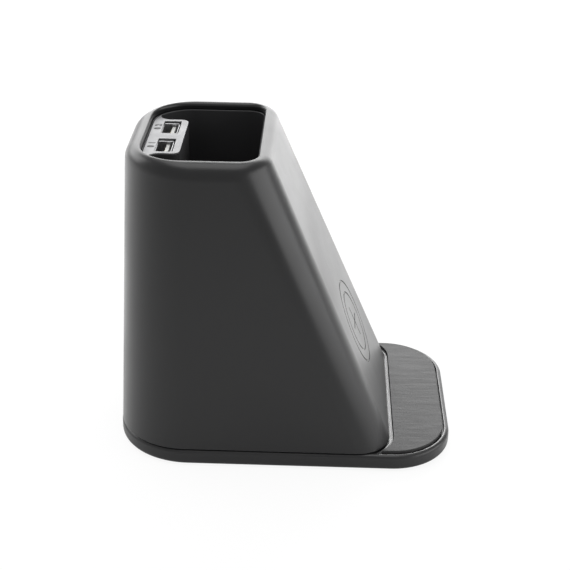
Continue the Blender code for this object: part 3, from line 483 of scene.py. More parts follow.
def combine(piece: Piece, tool: Piece, join: Join) -> None:
    """Runs a Boolean, applies it and throws the tool away.

    Args:
        piece: The piece that is changed.
        tool: What it is joined to or cut with.
        join: How the tool acts.
    """
    modifier = piece.modifiers.new(join.name, "BOOLEAN")
    modifier.operation = join.value
    modifier.solver = "EXACT"
    modifier.object = tool
    apply_all(piece)
    bpy.data.objects.remove(tool)


def ease_edges(piece: Piece, width: float, steps: int) -> None:
    """Bevels every steep edge of a piece.

    Args:
        piece: The piece.
        width: Radius of the rounding.
        steps: Faces across it.
    """
    bevel = piece.modifiers.new("eased edges", "BEVEL")
    bevel.width = width
    bevel.segments = steps
    bevel.limit_method = "ANGLE"
    bevel.angle_limit = STEEP
    apply_all(piece)


def smooth(piece: Piece) -> Piece:
    """Shades a piece smooth between its real edges, with flat faces kept flat.

    Args:
        piece: The piece.

    Returns:
        The same piece.
    """
    activate(piece)
    bpy.ops.object.shade_smooth_by_angle(angle=SHARP)
    modifier = piece.modifiers.new("flat faces", "WEIGHTED_NORMAL")
    modifier.keep_sharp = True
    modifier.weight = FACE_WEIGHT
    apply_all(piece)
    return piece


def shifted_copy(piece: Piece, name: str, shift: Sequence[float]) -> Piece:
    """Copies a piece with its own mesh and moves the copy's mesh.

    Args:
        piece: The piece that is repeated.
        name: The copy's name.
        shift: How far along x, y and z.

    Returns:
        The copy.
    """
    activate(piece)
    bpy.ops.object.duplicate(linked=False)
    copy = bpy.context.object
    copy.name = copy.data.name = name
    bpy.ops.object.mode_set(mode="EDIT")
    bpy.ops.mesh.select_all(action="SELECT")
    bpy.ops.transform.translate(value=shift)
    bpy.ops.object.mode_set(mode="OBJECT")
    return copy


def quarter(steps: int) -> Iterator[tuple[float, float]]:
    """Goes round a quarter of a circle.

    Args:
        steps: Edges in the arc.

    Returns:
        For each point, the shares of the radius still to go one way and gone the other way.
    """
    for step in range(steps + 1):
        angle = math.pi / 2 * step / steps
        yield 1 - math.sin(angle), 1 - math.cos(angle)


def rod_profile(radius: float, low: float, high: float) -> Profile:
    """Section of a plain round rod between two heights."""
    return (0, low), (radius, low), (radius, high), (0, high)


def turned(
    name: str, profile: Profile, x: float = 0, y: float = 0, sides: int = ROUND_SIDES
) -> Piece:
    """Makes a turned solid with an upright axis.

    Args:
        name: The solid's name.
        profile: Its section, as distances from the axis with their heights.
        x: The axis's place across.
        y: The axis's place in depth.
        sides: Faces round it.

    Returns:
        The solid.
    """
    bench = Bench(name)
    bench.revolve(profile, sides)
    bench.move((x, y, 0))
    return bench.take_off()


def brick(name: str, low: Sequence[float], high: Sequence[float]) -> Piece:
    """Makes a box between two corners.

    Args:
        name: The box's name.
        low: Lowest x, y and z.
        high: Highest x, y and z.

    Returns:
        The box.
    """
    bench = Bench(name)
    bench.block(low, high)
    return bench.take_off()


def prism(name: str, outline: Outline, low: float, high: float, steps: int) -> Piece:
    """Raises an outline between two heights.

    Args:
        name: The solid's name.
        outline: The outline.
        low: Its lowest height.
        high: Its highest height.
        steps: Edges in each corner's arc.

    Returns:
        The solid.
    """
    bench = Bench(name)
    bench.loft(((outline, low), (outline, high)), steps)
    return bench.take_off()


def slot_tool(
    name: str, half_width: float, half_height: float, middle: float, near: float, far: float
) -> Piece:
    """Makes a solid with full round ends that lies along the depth.

    Args:
        name: The tool's name.
        half_width: Half its width.
        half_height: Half its height, and the radius of its ends.
        middle: Height of its axis.
        near: Where it starts in depth.
        far: Where it stops in depth.

    Returns:
        The tool.
    """
    bench = Bench(name)
    end = half_width - half_height
    bench.start_line(end, -half_height, 0)
    bench.draw_arc((end, 0), math.pi, SLOT_STEPS)
    bench.draw_to(-end, half_height)
    bench.draw_arc((-end, 0), math.pi, SLOT_STEPS)
    bench.draw_to(end, -half_height)
    bench.fill_line(far - near)
    bench.tip(-math.pi / 2)
    bench.move((0, near, middle))
    return bench.take_off()


def add_node(
    tree: bpy.types.NodeTree, kind: str, inputs: dict | None = None, **settings: object
) -> bpy.types.ShaderNode:
    """Adds a node to a tree.

    Args:
        tree: The node tree.
        kind: The node's type without its ShaderNode prefix.
        inputs: Values or outputs for the node's inputs, by their names or numbers.
        settings: Values for the node's own settings.

    Returns:
        The node.
    """
    made = tree.nodes.new("ShaderNode" + kind)
    for name, value in settings.items():
        setattr(made, name, value)
    for name, value in (inputs or {}).items():
        if isinstance(value, Socket):
            tree.links.new(value, made.inputs[name])
        else:
            made.inputs[name].default_value = value
    return made


class Recipe:
    """A material's node tree, with short calls that add nodes and join them."""

    def __init__(self, name: str, roughness: float, metallic: float = 0.0) -> None:
        """Starts a Principled material.

        Args:
            name: The material's name.
            roughness: Its plain roughness.
            metallic: One for bare metal.
        """
        self.material = bpy.data.materials.new(name)
        self.material.use_nodes = True
        self.tree = self.material.node_tree
        self.shader = self.tree.nodes["Principled BSDF"]
        self.set(Roughness=roughness, Metallic=metallic)
        self.place = self.node("TexCoord").outputs["Object"]

    def set(self, **values: float | tuple) -> None:
        """Sets plain values of the shader's inputs, with _ for a space in their names."""
        for name, value in values.items():
            self.shader.inputs[name.replace("_", " ")].default_value = value

    def node(
        self, kind: str, inputs: dict | None = None, **settings: object
    ) -> bpy.types.ShaderNode:
        """Adds a node, as add_node does."""
        return add_node(self.tree, kind, inputs, **settings)

    def noise(self, size: float, detail: float = 2.0, stretch: Sequence[float] = ()) -> Socket:
        """Adds a cloudy pattern.

        Args:
            size: About how far apart its blotches are.
            detail: How many finer layers it has.
            stretch: Its scale along x, y and z, if it isn't even.

        Returns:
            Its output, from zero to one.
        """
        place = self.place
        if stretch:
            place = self.node("Mapping", {"Vector": place, "Scale": stretch}).outputs[0]
        inputs = {"Vector": place, "Scale": 1 / size, "Detail": detail}
        return self.node("TexNoise", inputs).outputs["Fac"]

    def range(
        self, value: Socket, low: float, high: float, start: float = 0.3, stop: float = 0.7
    ) -> Socket:
        """Maps a pattern onto a range of values.

        Args:
            value: The pattern.
            low: The result where the pattern is at start.
            high: The result where the pattern is at stop.
            start: The pattern's value at the low end.
            stop: The pattern's value at the high end.

        Returns:
            The mapped output.
        """
        inputs = {"Value": value, "From Min": start, "From Max": stop}
        inputs |= {"To Min": low, "To Max": high}
        return self.node("MapRange", inputs).outputs[0]

    def around(self, value: Socket, middle: float, below: float, above: float) -> Socket:
        """Maps a pattern onto a range of values round a middle one, as range does."""
        return self.range(value, middle - below, middle + above)

    def blend(self, share: Socket, first: Colour | Socket, second: Colour | Socket) -> Socket:
        """Mixes two colours, plain ones or outputs, with a share of the second."""
        first, second = ((*c, 1) if isinstance(c, tuple) else c for c in (first, second))
        return self.node("Mix", {6: first, 7: second, 0: share}, data_type="RGBA").outputs[2]

    def edges(self, radius: float) -> Socket:
        """Finds the piece's edges, where handling polishes it and where the colour is made lighter,
        partly as wear and partly as a painted highlight.

        Args:
            radius: How far from an edge it counts.

        Returns:
            One on edges and zero on flat faces.
        """
        rounded = self.node("Bevel", {"Radius": radius}, samples=EDGE_SAMPLES).outputs[0]
        normal = self.node("NewGeometry").outputs["Normal"]
        dot = self.node("VectorMath", {0: rounded, 1: normal}, operation="DOT_PRODUCT")
        return self.range(dot.outputs["Value"], 1, 0, *EDGE_LEVELS)

    def bump(self, height: Socket, depth: float, under: Socket | None = None) -> Socket:
        """Adds relief.

        Args:
            height: The relief's pattern.
            depth: Its depth.
            under: The normal of a coarser relief below it.

        Returns:
            The normal's output.
        """
        inputs = {"Height": height, "Distance": depth, "Strength": 1.0}
        if under is not None:
            inputs["Normal"] = under
        return self.node("Bump", inputs).outputs[0]

    def paint(self, **outputs: Socket) -> Material:
        """Joins outputs to the shader.

        Args:
            outputs: The shader's inputs by name, with _ for a space.

        Returns:
            The finished material.
        """
        for name, output in outputs.items():
            self.tree.links.new(output, self.shader.inputs[name.replace("_", " ")])
        return self.material


@dataclass(frozen=True)
class Finish:
    """What a piece is made of: its colour and roughness, before grain and wear."""

    name: str
    colour: Colour
    roughness: float

    def mix(self) -> Material:
        """Builds the material; each kind of finish has its own recipe."""
        raise NotImplementedError

    def tint(self, share: float, lift: float = 0.0) -> Colour:
        """The colour made lighter or darker by a share and a plain lift."""
        return tuple(channel * share + lift for channel in self.colour)


@cache
def material_of(finish: Finish) -> Material:
    """The material of a finish, mixed the first time that it is asked for."""
    return finish.mix()


def fit(piece: Piece, finish: Finish, slot: str, *nodes: str) -> None:
    """Gives a piece its finish and puts it in the place of its CAD nodes.

    Args:
        piece: The finished piece.
        finish: Its finish.
        slot: Not used.
        nodes: The CAD nodes that it stands for.
    """
    piece.data.materials.clear()
    piece.data.materials.append(material_of(finish))
    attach(piece, ROOT)
    if nodes:
        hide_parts(*nodes)
    faces = len(piece.data.polygons) if piece.type == "MESH" else 0
    LOG.info("%s: %d faces, stands for %s", piece.name, faces, ", ".join(nodes) or "nothing")


def fit_copies(
    master: Piece, finish: Finish, slot: str, copies: Iterable[tuple[str, str, Sequence[float]]]
) -> None:
    """Sets dressed copies of a piece in their places and throws the piece away.

    Args:
        master: The piece that is repeated.
        finish: Its finish.
        slot: Passed on to fit.
        copies: Each copy's name, the CAD node that it stands for, and its place.
    """
    smooth(master)
    for name, node, place in copies:
        fit(shifted_copy(master, name, place), finish, slot, node)
    bpy.data.objects.remove(master)


@dataclass(frozen=True)
class SoftTouchPlastic(Finish):
    """Satin moulded plastic: a fine even grain, faint handling marks and polished edges; the edges'
    lighter colour is partly wear and partly painted highlight.
    """

    grain_size: float
    grain_depth: float
    smear: float = 0.05
    polish: float = 0.08
    sheen: float = 0.0
    sheen_roughness: float = 0.4
    edge_gloss: float = 0.0
    gloss_roughness: float = 0.12
    index: float = 1.4
    cloud_size: float = 0.035
    cloud_share: float = 1.35
    wear_and_highlight_radius: float = 0.0007
    wear_and_highlight_share: float = 2.2
    wear_and_highlight_lift: float = 0.01
    wear_and_highlight_blend: float = 0.5

    def mix(self) -> Material:
        """Builds the material.

        Returns:
            The material.
        """
        mix = Recipe(self.name, self.roughness)
        mix.set(Sheen_Weight=self.sheen, Sheen_Roughness=self.sheen_roughness)
        mix.set(IOR=self.index, Coat_Roughness=self.gloss_roughness)
        cloud = mix.noise(self.cloud_size, 4.0)
        edge = mix.edges(self.wear_and_highlight_radius)
        # Lighter colour on the edges: partly wear, partly a painted highlight.
        wear_and_highlight = self.tint(self.wear_and_highlight_share, self.wear_and_highlight_lift)
        base = mix.blend(cloud, self.colour, self.tint(self.cloud_share))
        base = mix.blend(mix.range(edge, 0, self.wear_and_highlight_blend, 0, 1), base, wear_and_highlight)
        rough = mix.around(cloud, self.roughness, self.smear, self.smear)
        shiny = mix.range(edge, 0, self.polish, 0, 1)
        rough = mix.node("Math", {0: rough, 1: shiny}, operation="SUBTRACT").outputs[0]
        grain = mix.bump(mix.noise(self.grain_size, 3.0), self.grain_depth)
        if self.edge_gloss:
            mix.paint(Coat_Weight=mix.range(edge, 0, self.edge_gloss, 0, 0.5))
        return mix.paint(Base_Color=base, Roughness=rough, Normal=grain)


@dataclass(frozen=True)
class RubberSheet(Finish):
    """Matt rubber with the fine streaks that its cutting leaves across it."""

    streak_width: float = 0.0006
    streak_length: float = 0.03
    relief: float = 0.00003
    smear: float = 0.05
    dust_size: float = 0.02
    pore_size: float = 0.00025
    pore_depth: float = 0.00002
    dark_share: float = 0.6
    pale_share: float = 1.5
    dust_blend: float = 0.35

    def mix(self) -> Material:
        """Builds the material.

        Returns:
            The material.
        """
        mix = Recipe(self.name, self.roughness)
        along = (1, self.streak_width / self.streak_length, 1)
        streak = mix.noise(self.streak_width, 2.0, along)
        dust = mix.noise(self.dust_size, 5.0)
        pale = self.tint(self.pale_share)
        base = mix.blend(streak, self.tint(self.dark_share), pale)
        base = mix.blend(mix.range(dust, 0, self.dust_blend), base, pale)
        rough = mix.around(streak, self.roughness, self.smear, self.smear)
        relief = mix.bump(streak, self.relief)
        relief = mix.bump(mix.noise(self.pore_size, 2.0), self.pore_depth, relief)
        return mix.paint(Base_Color=base, Roughness=rough, Normal=relief)


@dataclass(frozen=True)
class SilverLacquer(Finish):
    """Sprayed silver paint: fine flakes in a satin lacquer."""

    flakes_per_metre: float = 7000.0
    cloud_size: float = 0.008
    ripple_size: float = 0.0003
    ripple_depth: float = 0.000012
    metal: float = 0.3
    dim_share: float = 0.88
    flake_blend: float = 0.7
    flake_levels: tuple[float, float] = (0.2, 0.9)
    cloud_blend: float = 0.3
    smear: tuple[float, float] = (0.05, 0.07)

    def mix(self) -> Material:
        """Builds the material.

        Returns:
            The material.
        """
        mix = Recipe(self.name, self.roughness, self.metal)
        scattered = {"Vector": mix.place, "Scale": self.flakes_per_metre}
        flake = mix.node("TexVoronoi", scattered).outputs["Distance"]
        cloud = mix.noise(self.cloud_size, 4.0)
        dim = self.tint(self.dim_share)
        sparkle = mix.range(flake, 0, self.flake_blend, *self.flake_levels)
        base = mix.blend(sparkle, self.colour, dim)
        base = mix.blend(mix.range(cloud, 0, self.cloud_blend), base, dim)
        rough = mix.around(cloud, self.roughness, *self.smear)
        relief = mix.bump(mix.noise(self.ripple_size, 2.0), self.ripple_depth)
        return mix.paint(Base_Color=base, Roughness=rough, Normal=relief)


@dataclass(frozen=True)
class SheetMetal(Finish):
    """Bare or plated metal with rolling streaks and a little tarnish."""

    streaks: tuple[float, float, float] = (1.0, 1.0, 0.08)
    streak_size: float = 0.00035
    streak_depth: float = 0.000012
    tarnish_size: float = 0.004
    tarnish_blend: float = 0.6
    tarnish_share: float = 0.7
    smear: tuple[float, float] = (0.07, 0.1)

    def mix(self) -> Material:
        """Builds the material.

        Returns:
            The material.
        """
        mix = Recipe(self.name, self.roughness, 1.0)
        streak = mix.noise(self.streak_size, 3.0, self.streaks)
        tarnish = mix.noise(self.tarnish_size, 4.0)
        tarnished = mix.range(tarnish, 0, self.tarnish_blend)
        base = mix.blend(tarnished, self.colour, self.tint(self.tarnish_share))
        rough = mix.around(streak, self.roughness, *self.smear)
        relief = mix.bump(streak, self.streak_depth)
        return mix.paint(Base_Color=base, Roughness=rough, Normal=relief)


@dataclass(frozen=True)
class CircuitBoard(Finish):
    """Lacquered board: darker tracks under the mask, with a fine glass weave."""

    track: Colour
    tracks_per_metre: float = 260.0
    threads_per_metre: float = 1800.0
    weave_depth: float = 0.000008
    track_depth: float = 0.00003
    track_levels: tuple[float, float] = (0.06, 0.09)
    cloud_size: float = 0.003
    gloss: tuple[float, float] = (0.32, 0.46)

    def mix(self) -> Material:
        """Builds the material.

        Returns:
            The material.
        """
        mix = Recipe(self.name, self.roughness)
        laid = {"Vector": mix.place, "Scale": self.tracks_per_metre}
        cells = mix.node("TexVoronoi", laid, feature="DISTANCE_TO_EDGE", distance="EUCLIDEAN")
        tracks = mix.range(cells.outputs["Distance"], 1, 0, *self.track_levels)
        woven = {"Vector": mix.place, "Scale": self.threads_per_metre}
        weave = mix.node("TexChecker", woven).outputs["Fac"]
        base = mix.blend(tracks, self.colour, self.track)
        rough = mix.range(mix.noise(self.cloud_size), *self.gloss)
        relief = mix.bump(weave, self.weave_depth)
        relief = mix.bump(tracks, self.track_depth, relief)
        return mix.paint(Base_Color=base, Roughness=rough, Normal=relief)


@dataclass(frozen=True)
class Speckled(Finish):
    """Pressed or moulded grains: ferrite, chip resin, header plastic and can labels."""

    speck: Colour
    speck_size: float = 0.0004
    speck_depth: float = 0.00002
    speck_levels: tuple[float, float] = (0.45, 0.7)
    cloud_size: float = 0.002
    smear: float = 0.08

    def mix(self) -> Material:
        """Builds the material.

        Returns:
            The material.
        """
        mix = Recipe(self.name, self.roughness)
        specks = mix.noise(self.speck_size, 4.0)
        base = mix.blend(mix.range(specks, 0, 1, *self.speck_levels), self.colour, self.speck)
        cloud = mix.noise(self.cloud_size, 3.0)
        rough = mix.around(cloud, self.roughness, self.smear, self.smear)
        relief = mix.bump(specks, self.speck_depth)
        return mix.paint(Base_Color=base, Roughness=rough, Normal=relief)


@dataclass(frozen=True)
class WireEnamel(Finish):
    """Enamelled copper strands wound side by side."""

    coat: float = 0.4
    strand_size: float = 0.00018
    strand_depth: float = 0.00003
    cloud_size: float = 0.004
    cloud_blend: float = 0.6
    dim_share: float = 0.6
    metal: float = 0.85
    gloss: tuple[float, float] = (0.24, 0.4)

    def mix(self) -> Material:
        """Builds the material.

        Returns:
            The material.
        """
        mix = Recipe(self.name, self.roughness, self.metal)
        mix.set(Coat_Weight=self.coat)
        strand = mix.noise(self.strand_size, 2.0)
        cloud = mix.noise(self.cloud_size, 3.0)
        dimmed = mix.range(cloud, 0, self.cloud_blend)
        base = mix.blend(dimmed, self.colour, self.tint(self.dim_share))
        rough = mix.range(strand, *self.gloss)
        relief = mix.bump(strand, self.strand_depth)
        return mix.paint(Base_Color=base, Roughness=rough, Normal=relief)


SHELL_PLASTIC = SoftTouchPlastic(
    "soft_touch_black", (0.006, 0.006, 0.0064), 0.32, 0.0004, 0.000008, sheen=0.12
)
CUP_PLASTIC = SoftTouchPlastic("cup_black", (0.021, 0.021, 0.022), 0.4, 0.0005, 0.00001)
BASE_PLASTIC = SoftTouchPlastic(
    "base_black", (0.010, 0.010, 0.0105), 0.36, 0.00045, 0.000012, polish=0.16, edge_gloss=1.0
)
COVER_PLASTIC = SoftTouchPlastic("cover_black", (0.018, 0.018, 0.019), 0.55, 0.0006, 0.00004)
PALE_PLASTIC = SoftTouchPlastic(
    "pale_plastic", (0.30, 0.30, 0.29), 0.42, 0.0004, 0.00001, polish=0.02
)
DARK_PLASTIC = SoftTouchPlastic("inner_black", (0.015, 0.015, 0.016), 0.5, 0.0005, 0.00002)
PAD_RUBBER = RubberSheet("pad_rubber", (0.025, 0.025, 0.0255), 0.61, 0.0009, 0.012, 0.000035)
FOOT_RUBBER = RubberSheet("foot_rubber", (0.024, 0.024, 0.025), 0.85, 0.0008, 0.004)
LEAD_SLEEVE = RubberSheet("lead_black", (0.018, 0.018, 0.018), 0.55, 0.0004, 0.002)
SILVER = SilverLacquer("silver_lacquer", (0.18, 0.18, 0.185), 0.42)
STEEL = SheetMetal("bright_steel", (0.46, 0.46, 0.47), 0.32)
GOLD = SheetMetal("contact_plating", (0.42, 0.36, 0.26), 0.3, (1.0, 0.08, 1.0))
BOARD = CircuitBoard("board_mask", (0.015, 0.13, 0.05), 0.38, (0.03, 0.22, 0.08))
FERRITE = Speckled("ferrite_grey", (0.045, 0.045, 0.05), 0.7, (0.09, 0.09, 0.095))
CHIP_RESIN = Speckled("chip_black", (0.012, 0.012, 0.013), 0.5, (0.03, 0.03, 0.03), 0.0002)
MARK_PAINT = Speckled("mark_black", (0.010, 0.010, 0.0105), 0.6, (0.02, 0.02, 0.021), 0.0002)
COPPER = WireEnamel("enamelled_copper", (0.55, 0.21, 0.07), 0.3)


@dataclass(frozen=True)
class HolderForm:
    """The outlines and heights that several sub-assemblies share."""

    base: Outline = Outline(-0.065, 0.065, 0.045, 0.0235, 0.0285)
    foot: Outline = Outline(-0.0413, 0.0646, 0.0446, 0.0133, 0.0268)
    top: Outline = Outline(0.0037, 0.0603, 0.0381, 0.0147, 0.0275)
    lip: Outline = Outline(0.0103, 0.0537, 0.0315, 0.0068, 0.0153)
    height: float = 0.120
    base_floor: float = 0.0004
    rim_height: float = 0.0068
    shell_floor: float = 0.0071
    lip_round: float = 0.0066
    shell_wall: float = 0.0024
    rim_step: float = 0.0005
    lip_edge: float = 0.0014
    end_edge_share: float = 0.4
    coil_height: float = 0.072052

    def eased_lip(self, back: float) -> Outline:
        """Moves the lip's inner edge outwards, less at its front and rear, where it is sharper.

        Args:
            back: How far it moves at the sides.

        Returns:
            The moved outline.
        """
        ends = back * self.end_edge_share
        front, rear = self.lip.front - ends, self.lip.rear + ends
        return replace(self.lip.inset(-back), front=front, rear=rear)

    @property
    def crown(self) -> Outline:
        """Where the lip is highest, before its edge rounds down into the mouth."""
        return self.eased_lip(self.lip_edge)

    def front_at(self, height: float) -> float:
        """Depth of the front face, which runs over the lip in one smooth arc.

        Args:
            height: The height.

        Returns:
            The face's depth.
        """
        lean = math.tan(self.slope_angle)
        meeting = self.top.front + (self.height - self.lip_start) * lean
        reach = self.crown.front - meeting
        radius = reach / math.tan((math.pi / 2 - self.slope_angle) / 2)
        if height < self.height - reach * math.cos(self.slope_angle):
            return self.top.front + (height - self.lip_start) * lean
        above = height - (self.height - radius)
        return self.crown.front - math.sqrt(max(radius**2 - above**2, 0))

    def behind_slope(self, along: float, depth: float, across: float = 0.0) -> Vector:
        """A point behind the slope, measured from the coil's centre on the slope's inner face.

        Args:
            along: How far up the slope.
            depth: How far behind its inner face.
            across: How far to the right.

        Returns:
            The point.
        """
        lean = self.slope_angle
        front = self.body_at(self.coil_height).front + self.shell_wall
        up = Vector((0, math.sin(lean), math.cos(lean)))
        inward = Vector((0, math.cos(lean), -math.sin(lean)))
        return Vector((across, front, self.coil_height)) + up * along + inward * depth

    @property
    def lip_start(self) -> float:
        """Height at which the wall starts to roll over."""
        return self.height - self.lip_round

    @property
    def mouth(self) -> Outline:
        """The cup's opening."""
        return self.lip.inset(self.rim_step)

    @property
    def cup_rim(self) -> float:
        """Height of the cup's rim, just under the lip's edge."""
        return self.height - self.shell_wall - TOUCH

    @property
    def slope_angle(self) -> float:
        """How far the slope leans back from upright."""
        return math.atan2(self.top.front - self.foot.front, self.lip_start - self.shell_floor)

    def body_at(self, height: float) -> Outline:
        """The body's outline at a height below the lip."""
        share = (height - self.shell_floor) / (self.lip_start - self.shell_floor)
        return self.foot.blend(self.top, share)


@dataclass
class Fasteners:
    """The long screws that hold the case together, and the places that they go through."""

    across: float = 0.0386
    depths: tuple[float, float] = (-0.0203, 0.0216)
    head: float = 0.0021
    head_height: float = 0.0015
    head_round: float = 0.0005
    head_steps: int = 4
    seat: float = 0.0022
    shank: float = 0.00125
    core_share: float = 0.8
    length: float = 0.0145
    threads: int = 11
    thread_pitch: float = 0.001
    recess_width: float = 0.0006
    recess_arm: float = 0.0008
    recess_depth: float = 0.0009
    boss: float = 0.0040
    boss_bore: float = 0.00155
    boss_low: float = 0.0076
    boss_high: float = 0.0182
    bore_top: float = 0.0170

    def case_places(self) -> list[tuple[float, float]]:
        """Where the four screws stand, as x and y."""
        return [(sign * self.across, y) for y in self.depths for _, sign in LEFT_AND_RIGHT]

    def boss_profile(self) -> Profile:
        """Section of the shell's boss, open below for the screw.

        Returns:
            Distances from the axis with their heights.
        """
        return (
            (0, self.bore_top),
            (self.boss_bore, self.bore_top),
            (self.boss_bore, self.boss_low),
            (self.boss, self.boss_low),
            (self.boss, self.boss_high),
            (0, self.boss_high),
        )

    def screw_profile(self) -> Profile:
        """Section of a pan-head screw, with its seat at height zero and its head below.

        Returns:
            Distances from the axis with their heights.
        """
        low = -self.head_height
        profile = [(0.0, low)]
        for out, up in quarter(self.head_steps):
            profile.append((self.head - self.head_round * out, low + self.head_round * up))
        core = self.shank * self.core_share
        profile += [(self.head, 0.0), (self.shank, 0.0)]
        first = self.length - self.shank - self.threads * self.thread_pitch
        for turn in range(self.threads):
            height = first + turn * self.thread_pitch
            profile += [(core, height), (self.shank, height + self.thread_pitch / 2)]
        return [*profile, (core, self.length - self.shank), (0.0, self.length)]

    def make(self) -> None:
        """Builds one screw and sets a copy in each place."""
        screw = turned("case_screw", self.screw_profile())
        bench = Bench("drive_recess")
        low = -self.head_height - OVERRUN
        bench.cross(self.recess_width, self.recess_arm, low, self.recess_depth - self.head_height)
        combine(screw, bench.take_off(), Join.CUT)
        ends = [f"{end}_{side}" for end in ("front", "rear") for side, _ in LEFT_AND_RIGHT]
        copies = [
            (f"long_screw_{end}", f"case_screw_{end}", (*place, self.seat))
            for end, place in zip(ends, self.case_places())
        ]
        fit_copies(screw, STEEL, "bright_steel", copies)


@dataclass
class Housing:
    """The outer shell: one moulding that rolls over into the mouth, with a mark on its slope."""

    form: HolderForm
    screws: Fasteners
    corner_steps: int = 24
    roll_steps: int = 14
    boss_offset: float = 0.0215
    boss_radius: float = 0.0024
    boss_bore: float = 0.0011
    boss_embed: float = 0.0012
    boss_height: float = 0.0025
    edge_steps: int = 8
    foot_edge: float = 0.0003
    mark_height: float = 0.041
    mark_radius: float = 0.0172
    mark_sides: int = 64
    mark_line: float = 0.0007
    mark_depth: float = 0.0003
    inner_ring_share: float = 0.72
    plus_share: float = 0.36
    inlet_half_width: float = 0.00487
    inlet_half_height: float = 0.002
    inlet_middle: float = 0.0145

    def rings(self) -> Iterator[Ring]:
        """Goes up the outside of the wall, over the lip and down the inside.

        Returns:
            Its outlines with their heights.
        """
        form = self.form
        yield form.foot.inset(self.foot_edge), form.shell_floor
        yield form.body_at(form.shell_floor + self.foot_edge), form.shell_floor + self.foot_edge
        inside: list[Ring] = [
            (form.foot.inset(form.shell_wall), form.shell_floor + DRAFT),
            (form.top.inset(form.shell_wall), form.lip_start),
        ]
        for step in range(self.roll_steps + 1):
            angle = math.pi / 2 * step / self.roll_steps
            height = form.lip_start + form.lip_round * math.sin(angle)
            even = form.top.blend(form.crown, 1 - math.cos(angle))
            rolled = replace(even, front=form.front_at(height))
            if step < self.roll_steps:
                yield rolled, height
            if step:
                inner = rolled.inset(form.shell_wall * math.cos(angle))
                rise = (form.lip_round - form.shell_wall) * math.sin(angle)
                inside.append((inner, form.lip_start + rise))
        for back, down in quarter(self.edge_steps):
            yield form.eased_lip(form.lip_edge * back), form.height - form.lip_edge * down
        yield form.lip, form.height - form.shell_wall - DRAFT
        yield from reversed(inside)

    def bosses(self) -> Iterator[Piece]:
        """Makes the screw bosses: four upright ones in the corners and four behind the slope.

        Returns:
            The bosses.
        """
        for x, y in self.screws.case_places():
            yield turned("corner_boss", self.screws.boss_profile(), x, y)
        outside = rod_profile(self.boss_radius, -self.boss_embed, self.boss_height)
        bore = ((self.boss_bore, self.boss_height), (self.boss_bore, TOUCH), (0, TOUCH))
        profile = outside[:3] + bore
        for across in (-self.boss_offset, self.boss_offset):
            for along in (-self.boss_offset, self.boss_offset):
                bench = Bench("slope_boss")
                bench.revolve(profile, ROUND_SIDES)
                bench.tip(-math.pi / 2 - self.form.slope_angle)
                bench.move(self.form.behind_slope(along, 0, across))
                yield bench.take_off()

    def mark_cutter(self) -> Piece:
        """Makes a plain double ring with a plus, for the place on the slope where a phone charges.

        Returns:
            The tool.
        """
        bench = Bench("mark_cutter")
        for radius in (self.mark_radius, self.mark_radius * self.inner_ring_share):
            bpy.ops.mesh.select_all(action="DESELECT")
            bpy.ops.mesh.primitive_circle_add(
                vertices=self.mark_sides, radius=radius, fill_type="NGON"
            )
            bpy.ops.mesh.inset(thickness=self.mark_line)
            bpy.ops.mesh.delete(type="FACE")
        bpy.ops.mesh.select_all(action="SELECT")
        rise = 2 * self.mark_depth
        bench.grow((0, 0, rise))
        bench.cross(self.mark_line, self.mark_radius * self.plus_share, 0, rise)
        bench.move((0, 0, -self.mark_depth))
        bench.tip(math.pi / 2 - self.form.slope_angle)
        bench.move((0, self.form.body_at(self.mark_height).front, self.mark_height))
        return bench.take_off()

    def inlet_cutter(self) -> Piece:
        """Makes a slot with full round ends through the back wall.

        Returns:
            The tool.
        """
        rear, half = self.form.foot.rear, (self.inlet_half_width, self.inlet_half_height)
        near = rear - 2 * self.form.shell_wall
        return slot_tool("inlet_cutter", *half, self.inlet_middle, near, rear + OVERRUN)

    def make(self) -> None:
        """Builds the shell and dresses it."""
        bench = Bench("body_shell")
        bench.loft(self.rings(), self.corner_steps, closed=True)
        shell = bench.take_off()
        for boss in self.bosses():
            combine(shell, boss, Join.ADD)
        combine(shell, self.inlet_cutter(), Join.CUT)
        combine(shell, self.mark_cutter(), Join.CUT)
        fit(smooth(shell), SHELL_PLASTIC, "soft_touch_black", "outer_shell")


